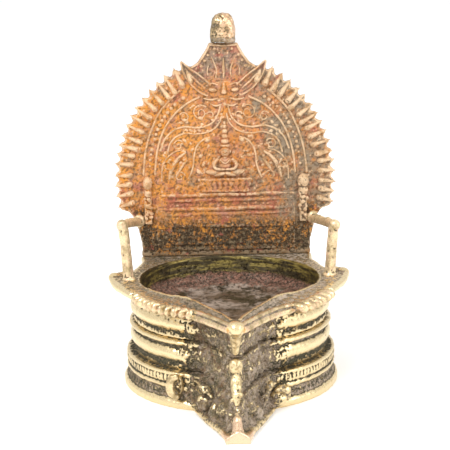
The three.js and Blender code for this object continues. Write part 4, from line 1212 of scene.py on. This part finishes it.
def pedestal_wear(tree):
    """Grime, crust and dullness over the pedestal, with painted shade mixed into the grime and dullness: thick in its
    grooves and round the prow.
    """
    fine, broad = carved(tree, "fine"), carved(tree, "broad")
    across, height = size_of(tree, along(tree, "X")), along(tree, "Z")
    patch = cloud(tree, 6.5, 7, 0.66)
    speckle = cloud(tree, 1.2, 7, 0.75, 0.2)
    front = ease(tree, along(tree, "Y"), -14, -24)
    toe = ease(tree, along(tree, "Y"), -57, -53)
    prow = times(tree, times(tree, ease(tree, across, 21, 12), front), toe)
    # Painted shade and grime: the tiers darken towards the prow, standing for its shade and the dark rim underside
    # mirrored in the brass, as well as grime.
    corner = times(tree, times(tree, ease(tree, plus(tree, across, times(tree, patch, 14)), 30, 22), front), toe)
    # Painted shade and grime in bands at the grooves and joints between the tiers and parts.
    grooves = plus(tree, band(tree, height, 26.6, 28.6, 0.5), times(tree, band(tree, height, 14.1, 18.8, 0.5), 1.3),
                   band(tree, height, 24.4, 25.6, 0.5), times(tree, band(tree, height, 3.6, 7.6, 0.5), 0.62), times(tree, band(tree, height, 8.6, 13.2, 0.5), 0.3))
    flank = ease(tree, across, 34, 42)
    back = times(tree, ease(tree, along(tree, "Y"), 38, 48), ease(tree, height, RIM_TOP - 3, RIM_TOP - 1))
    # This sum of grime, the painted shade above and random patches sets how black the brass goes.
    worn = plus(tree, times(tree, back, 0.4), times(tree, flank, 0.14), times(tree, grooves, 0.34), times(tree, broad, 0.30), times(tree, fine, 0.33),
                times(tree, corner, 0.58), times(tree, patch, 1.0), times(tree, speckle, 1.0))
    grime_and_shade_mask = ease(tree, worn, 1.17, 1.36)
    crusted = plus(tree, times(tree, prow, 0.72), times(tree, speckle, 1.0), times(tree, broad, 0.15),
                   times(tree, fine, 0.24), times(tree, grooves, 0.12), times(tree, patch, 0.4),
                   times(tree, band(tree, height, 3.6, 7.6, 0.5), 0.16))
    crust = times(tree, ease(tree, crusted, 1.04, 1.22), 0.95)
    # Dullness from tarnish, with the same painted shade added.
    tarnish_and_shade = plus(tree, worn, times(tree, patch, 0.3), ease(tree, toe, 0, 1, 0.17, 0),
                     ease(tree, along(tree, "X"), 8, 26, 0, 0.08))
    dull = ease(tree, tarnish_and_shade, 1.12, 1.46)
    crust = times(tree, crust, put(tree, "Math", {0: 1.0, 1: back}, operation="SUBTRACT"))
    return grime_and_shade_mask, crust, dull


def make_pedestal_skin():
    material, tree = new_skin("pedestal_skin")
    grime_and_shade_mask, crust, dull = pedestal_wear(tree)
    polished = cover(tree, POLISHED, BLUSHED, ease(tree, along(tree, "Y"), -52, -57))
    old_brass(tree, grime_and_shade_mask, crust, dull, polished)
    return material


def make_rib_skin():
    material, tree = new_skin("rib_skin")
    fine, broad = carved(tree, "fine"), carved(tree, "broad")
    speckle = cloud(tree, 1.2, 7, 0.75, 0.6)
    worn = plus(tree, times(tree, broad, 0.5), times(tree, fine, 0.5), times(tree, speckle, 1.4))
    grime_and_shade_mask = ease(tree, worn, 0.74, 1.0)
    crust = times(tree, ease(tree, plus(tree, cloud(tree, 2.6, 5, 0.6, 0.9), times(tree, broad, 0.3)), 0.5, 0.64), 0.7)
    dull = ease(tree, cloud(tree, 2.0, 6, 0.7), 0.42, 0.62)
    old_brass(tree, grime_and_shade_mask, crust, dull)
    return material


def make_worn_skin(name, grimy, crusty, blushed=0.5, metallic=0.95):
    """Pale worn brass with pits, as grimy, crusty and pink as the given amounts."""
    material, tree = new_skin(name)
    fine, broad = carved(tree, "fine"), carved(tree, "broad")
    speckle = cloud(tree, 1.2, 8, 0.8, 0.4)
    stain = cloud(tree, 4.0, 7, 0.7, 0.33)
    worn = plus(tree, times(tree, broad, 0.5), times(tree, fine, 0.45), times(tree, speckle, 0.9), times(tree, stain, 0.7))
    grime_and_shade_mask = ease(tree, worn, 1.0 - grimy, 1.24 - grimy, 0, 0.9)
    crusted = plus(tree, cloud(tree, 2.2, 6, 0.7, 0.15), times(tree, broad, 0.15), times(tree, fine, 0.15))
    crust = ease(tree, crusted, 0.6 - crusty, 0.7 - crusty, 0, 0.85)
    dull = ease(tree, plus(tree, stain, times(tree, speckle, 0.4)), 0.62, 0.86)
    polished = cover(tree, POLISHED, BLUSHED, ease(tree, cloud(tree, 3, 6, 0.7, 0.5), 0.6 - 0.3 * blushed, 0.8 - 0.3 * blushed))
    old_brass(tree, grime_and_shade_mask, crust, dull, polished, metallic)
    return material


def make_finial_skin():
    """Worn brass, pitted and brown on one side, with a reddish foot."""
    material, tree = new_skin("finial_skin")
    fine, broad = carved(tree, "fine"), carved(tree, "broad")
    speckle = cloud(tree, 1.0, 8, 0.8, 0.4)
    stain = cloud(tree, 3.4, 7, 0.7, 0.33)
    side = ease(tree, along(tree, "X"), 1.5, -4.5)
    foot = ease(tree, along(tree, "Z"), NECK_TOP + 2.6, NECK_TOP + 1.2)
    worn = plus(tree, times(tree, broad, 0.2), times(tree, fine, 0.3), times(tree, speckle, 1.0), times(tree, stain, 0.6),
                times(tree, side, 0.16))
    grime_and_shade_mask = ease(tree, worn, 0.94, 1.12, 0, 0.85)
    crust = ease(tree, plus(tree, stain, times(tree, side, 0.12), times(tree, foot, 0.4)), 0.56, 0.72, 0, 0.9)
    dull = ease(tree, plus(tree, stain, times(tree, side, 0.2)), 0.46, 0.7)
    polished = cover(tree, BLUSHED, COPPERY, ease(tree, plus(tree, stain, times(tree, foot, 0.5)), 0.42, 0.66))
    old_brass(tree, grime_and_shade_mask, crust, dull, polished)
    return material


def make_bowl_skin():
    """Oily and nearly black inside with painted highlight streaks on its upper wall, crusted on the rim, and like the
    pedestal outside.
    """
    material, tree = new_skin("bowl_skin")
    inside = carved(tree, "inside")
    fine = carved(tree, "fine")
    height = along(tree, "Z")
    depth = along(tree, "Y")
    patch = cloud(tree, 7, 7, 0.66, 0.4)
    speckle = cloud(tree, 1.3, 7, 0.75, 0.2)
    rim = ease(tree, height, RIM_TOP - 1.6, RIM_TOP - 0.6)
    grime_and_shade_mask, crust, dull = pedestal_wear(tree)
    rimmed = plus(tree, times(tree, speckle, 0.9), times(tree, patch, 0.5), times(tree, fine, 0.8))
    crust = plus(tree, times(tree, crust, put(tree, "Math", {0: 1.0, 1: rim}, operation="SUBTRACT")),
                 times(tree, rim, ease(tree, rimmed, 0.52, 0.72, 0.0, 0.95)))
    old_brass(tree, grime_and_shade_mask, crust, dull)
    shader = tree.nodes["Principled BSDF"]
    outer = {key: shader.inputs[key].links[0].from_socket for key in ("Base Color", "Metallic", "Roughness")}
    wall = ease(tree, plus(tree, height, times(tree, patch, 2)), 36.2, 37.4)
    # Horizontal streaks that place the painted highlight on the upper wall.
    ribbon = put(tree, "Mapping", {0: place(tree), 3: (0.5, 0.5, 4.0)})
    painted_highlight_streak = put(tree, "TexNoise", {"Vector": ribbon, "Scale": 1 / (5 * MM), "Detail": 6, "Roughness": 0.65})
    level = plus(tree, height, times(tree, patch, 5), times(tree, speckle, 1.5))
    grained = times(tree, ease(tree, level, 34.9, 35.9), ease(tree, level, 40.4, 39.2))
    # Painted highlight: bright olive-yellow streaks on the dark upper wall stand for gloss reflected off the oily
    # lining.
    oil_and_painted_highlight = cover(tree, (0.055, 0.04, 0.017), (0.29, 0.22, 0.06), ease(tree, painted_highlight_streak, 0.46, 0.62))
    oil_and_painted_highlight = cover(tree, oil_and_painted_highlight, (0.02, 0.016, 0.01), ease(tree, speckle, 0.52, 0.66, 0, 0.7))
    floor = cover(tree, (0.40, 0.32, 0.26), (0.13, 0.09, 0.058), ease(tree, plus(tree, times(tree, patch, 0.5), times(tree, cloud(tree, 15, 5, 0.6, 0.5), 0.5)), 0.42, 0.56))
    floor = cover(tree, floor, (0.045, 0.034, 0.016), ease(tree, cloud(tree, 11, 8, 0.72, 0.7), 0.48, 0.6))
    floor = cover(tree, floor, (0.19, 0.125, 0.025), times(tree, ease(tree, depth, -10, -22), ease(tree, cloud(tree, 6, 5, 0.6, 0.2), 0.36, 0.48)))
    floor = cover(tree, floor, (0.02, 0.015, 0.008), times(tree, ease(tree, depth, -18, -30), ease(tree, cloud(tree, 5, 5, 0.6, 0.9), 0.46, 0.56)))
    floor = cover(tree, floor, (0.5, 0.42, 0.34), ease(tree, speckle, 0.6, 0.72, 0, 0.8))
    grains = cover(tree, (0.055, 0.038, 0.024), (0.30, 0.14, 0.095), ease(tree, cloud(tree, 1.4, 8, 0.8, 0.3), 0.42, 0.6))
    grains = cover(tree, grains, (0.6, 0.44, 0.34), ease(tree, cloud(tree, 0.6, 6, 0.85, 0.6), 0.55, 0.66))
    lining = cover(tree, floor, oil_and_painted_highlight, wall)
    lining = cover(tree, lining, grains, times(tree, grained, 0.9))
    surface(tree, cover(tree, outer["Base Color"], lining, inside),
            between(tree, outer["Metallic"], times(tree, wall, 0.4), inside),
            between(tree, outer["Roughness"], plus(tree, 0.34, times(tree, grained, 0.4)), inside),
            shader.inputs["Normal"].links[0].from_socket)
    return material


def make_powder_skin(name, rubbed, sooted=1.0):
    """Old brass under kumkum and turmeric powder, rubbed bare on the ridges and sooted low down."""
    material, tree = new_skin(name)
    fine, broad = carved(tree, "fine"), carved(tree, "broad")
    across, height = along(tree, "X"), along(tree, "Z")
    drift = cloud(tree, 14, 6, 0.6)
    patch = cloud(tree, 4.2, 8, 0.72, 0.4)
    blots = cloud(tree, 6.5, 8, 0.72, 0.13)
    speckle = cloud(tree, 0.8, 8, 0.88, 0.2)
    grit = cloud(tree, 0.42, 6, 0.88, 0.9)
    right = ease(tree, plus(tree, across, times(tree, drift, 44)), 16, 54)
    flank = times(tree, ease(tree, size_of(tree, across), 29, 34), ease(tree, height, 70, 62))
    low = ease(tree, plus(tree, height, times(tree, patch, 26), times(tree, speckle, 14)), 88, 66)
    low = put(tree, "Math", {0: low, 1: times(tree, flank, 0.6)}, operation="MAXIMUM")
    low = times(tree, low, sooted)
    high = ease(tree, height, 112, 128)
    middle = ease(tree, size_of(tree, plus(tree, height, -70)), 11, 3)
    left = ease(tree, across, 6, -30)
    bright = plus(tree, times(tree, patch, 0.6), times(tree, speckle, 0.4), times(tree, left, 0.05))
    powder = cover(tree, CLAY, ORANGE, ease(tree, bright, 0.42, 0.56))
    powder = cover(tree, powder, TURMERIC, ease(tree, plus(tree, speckle, times(tree, left, 0.04), times(tree, right, -0.08)), 0.49, 0.62, 0, 0.9))
    powder = cover(tree, powder, ROSE, ease(tree, plus(tree, times(tree, cloud(tree, 5, 8, 0.8, 0.55), 0.6), times(tree, grit, 0.4), times(tree, high, 0.06)), 0.49, 0.59, 0, 0.9))
    powder = cover(tree, powder, SLATE, ease(tree, plus(tree, times(tree, cloud(tree, 8, 8, 0.8, 0.75), 0.65), times(tree, speckle, 0.35), times(tree, high, 0.07)), 0.515, 0.6, 0, 0.8))
    reds = plus(tree, times(tree, blots, 0.75), times(tree, speckle, 0.25), times(tree, high, 0.04), times(tree, right, 0.02), times(tree, middle, 0.07))
    powder = cover(tree, powder, VERMILION, ease(tree, reds, 0.53, 0.65, 0, 0.8))
    ashen = plus(tree, times(tree, right, 0.2), times(tree, cloud(tree, 7, 8, 0.8, 0.95), 1.0), times(tree, grit, 0.4))
    powder = cover(tree, powder, OLIVE, ease(tree, ashen, 0.76, 0.96))
    powder = cover(tree, powder, CRUST, ease(tree, plus(tree, ashen, times(tree, speckle, 0.4)), 1.02, 1.18, 0, 0.7))
    # Umber specks of grit, and painted shade along the hollows beside the raised lines.
    umber_grit_and_hollow_shade = plus(tree, times(tree, fine, 0.4), times(tree, grit, 0.9), times(tree, broad, 0.08), times(tree, speckle, 0.4))
    powder = cover(tree, powder, UMBER, ease(tree, umber_grit_and_hollow_shade, 0.66, 0.9, 0, 0.66))
    burnt = cover(tree, SOOT, UMBER, ease(tree, grit, 0.46, 0.6))
    burnt = cover(tree, burnt, OLIVE, ease(tree, cloud(tree, 1.5, 8, 0.85, 0.35), 0.5, 0.58, 0, 0.75))
    clumps = plus(tree, times(tree, cloud(tree, 1.2, 8, 0.8, 0.62), 0.65), times(tree, patch, 0.35), times(tree, low, -0.05))
    burnt = cover(tree, burnt, ORANGE, ease(tree, clumps, 0.48, 0.54, 0, 0.7))
    burnt = cover(tree, burnt, TURMERIC, ease(tree, clumps, 0.53, 0.58, 0, 0.9))
    burnt = cover(tree, burnt, VERMILION, ease(tree, plus(tree, blots, times(tree, low, -0.04)), 0.54, 0.62, 0, 0.8))
    embers = ease(tree, plus(tree, times(tree, speckle, 0.6), times(tree, patch, 0.4), times(tree, low, 0.2)), 0.52, 0.6)
    powder = cover(tree, powder, burnt, times(tree, ease(tree, low, 0.02, 0.3), embers))
    powder = cover(tree, powder, ASH, ease(tree, plus(tree, grit, times(tree, low, -0.04)), 0.58, 0.7, 0, 0.4))
    behind = ease(tree, along(tree, "Y"), FACE_Y + AXIS_Y + 1.3, FACE_Y + AXIS_Y + 2.0)
    tarnish = cover(tree, (0.30, 0.215, 0.11), (0.13, 0.09, 0.045), ease(tree, plus(tree, patch, times(tree, grit, 0.3)), 0.58, 0.74))
    ridge = plus(tree, times(tree, fine, -0.75), times(tree, broad, -0.3), times(tree, speckle, 0.7))
    ridge = times(tree, ease(tree, ridge, 0.74 - rubbed, 1.12 - rubbed, 0, 0.85), between(tree, 1.0, 0.35, low))
    brass = cover(tree, (0.93, 0.68, 0.43), (0.62, 0.39, 0.20), ease(tree, patch, 0.46, 0.62))
    colour = cover(tree, cover(tree, powder, tarnish, behind), brass, ridge)
    metal = put(tree, "Math", {0: between(tree, 0.08, 0.8, ridge), 1: times(tree, behind, 0.7)}, operation="MAXIMUM")
    rough = times(tree, between(tree, 0.8, 0.38, ridge), between(tree, 1.0, 0.65, behind))
    normal = grain_of(tree, (0.5, speckle), (0.3, grit))
    surface(tree, colour, metal, rough, normal)
    return material


pedestal_skin = make_pedestal_skin()
rib_skin = make_rib_skin()
boss_skin = make_worn_skin("boss_skin", 0.14, 0.05, 0.2)
crusted_skin = make_worn_skin("crusted_skin", 0.16, 0.2, 0.2)
edging_skin = make_worn_skin("edging_skin", 0.12, 0.06, 0.6)
stay_skin = make_worn_skin("stay_skin", 0.08, 0.03, 0.6, 0.45)
finial_skin = make_finial_skin()
bowl_skin = make_bowl_skin()
plate_skin = make_powder_skin("plate_skin", -0.1)
ridge_skin = make_powder_skin("ridge_skin", 0.06)
figure_skin = make_powder_skin("figure_skin", 0.34)
crust_skin = make_powder_skin("crust_skin", -0.32)
beast_skin = make_powder_skin("beast_skin", 0.42, 0.2)


# ---------------------------------------------------------------------------------------
# The lamp
# ---------------------------------------------------------------------------------------
stand_camera()
lay_floor()
light_room()

make_foot()
make_drum()
make_bosses()
make_rib()
make_bowl()
make_edging(-1, "left", 11, 0.64, 1.0)
make_edging(1, "right", 6, 0.46, 1.6)
make_stay(-1, "left", 68.6)
make_stay(1, "right", 66.6)
make_plate()
make_teeth()
make_scrolls()
make_arch(-1, "left")
make_arch(1, "right")
make_mask()
make_figure()
make_seat()
make_throne()
make_pilaster(-1, "left", 2.0)
make_pilaster(1, "right", 2.6)
make_finial()
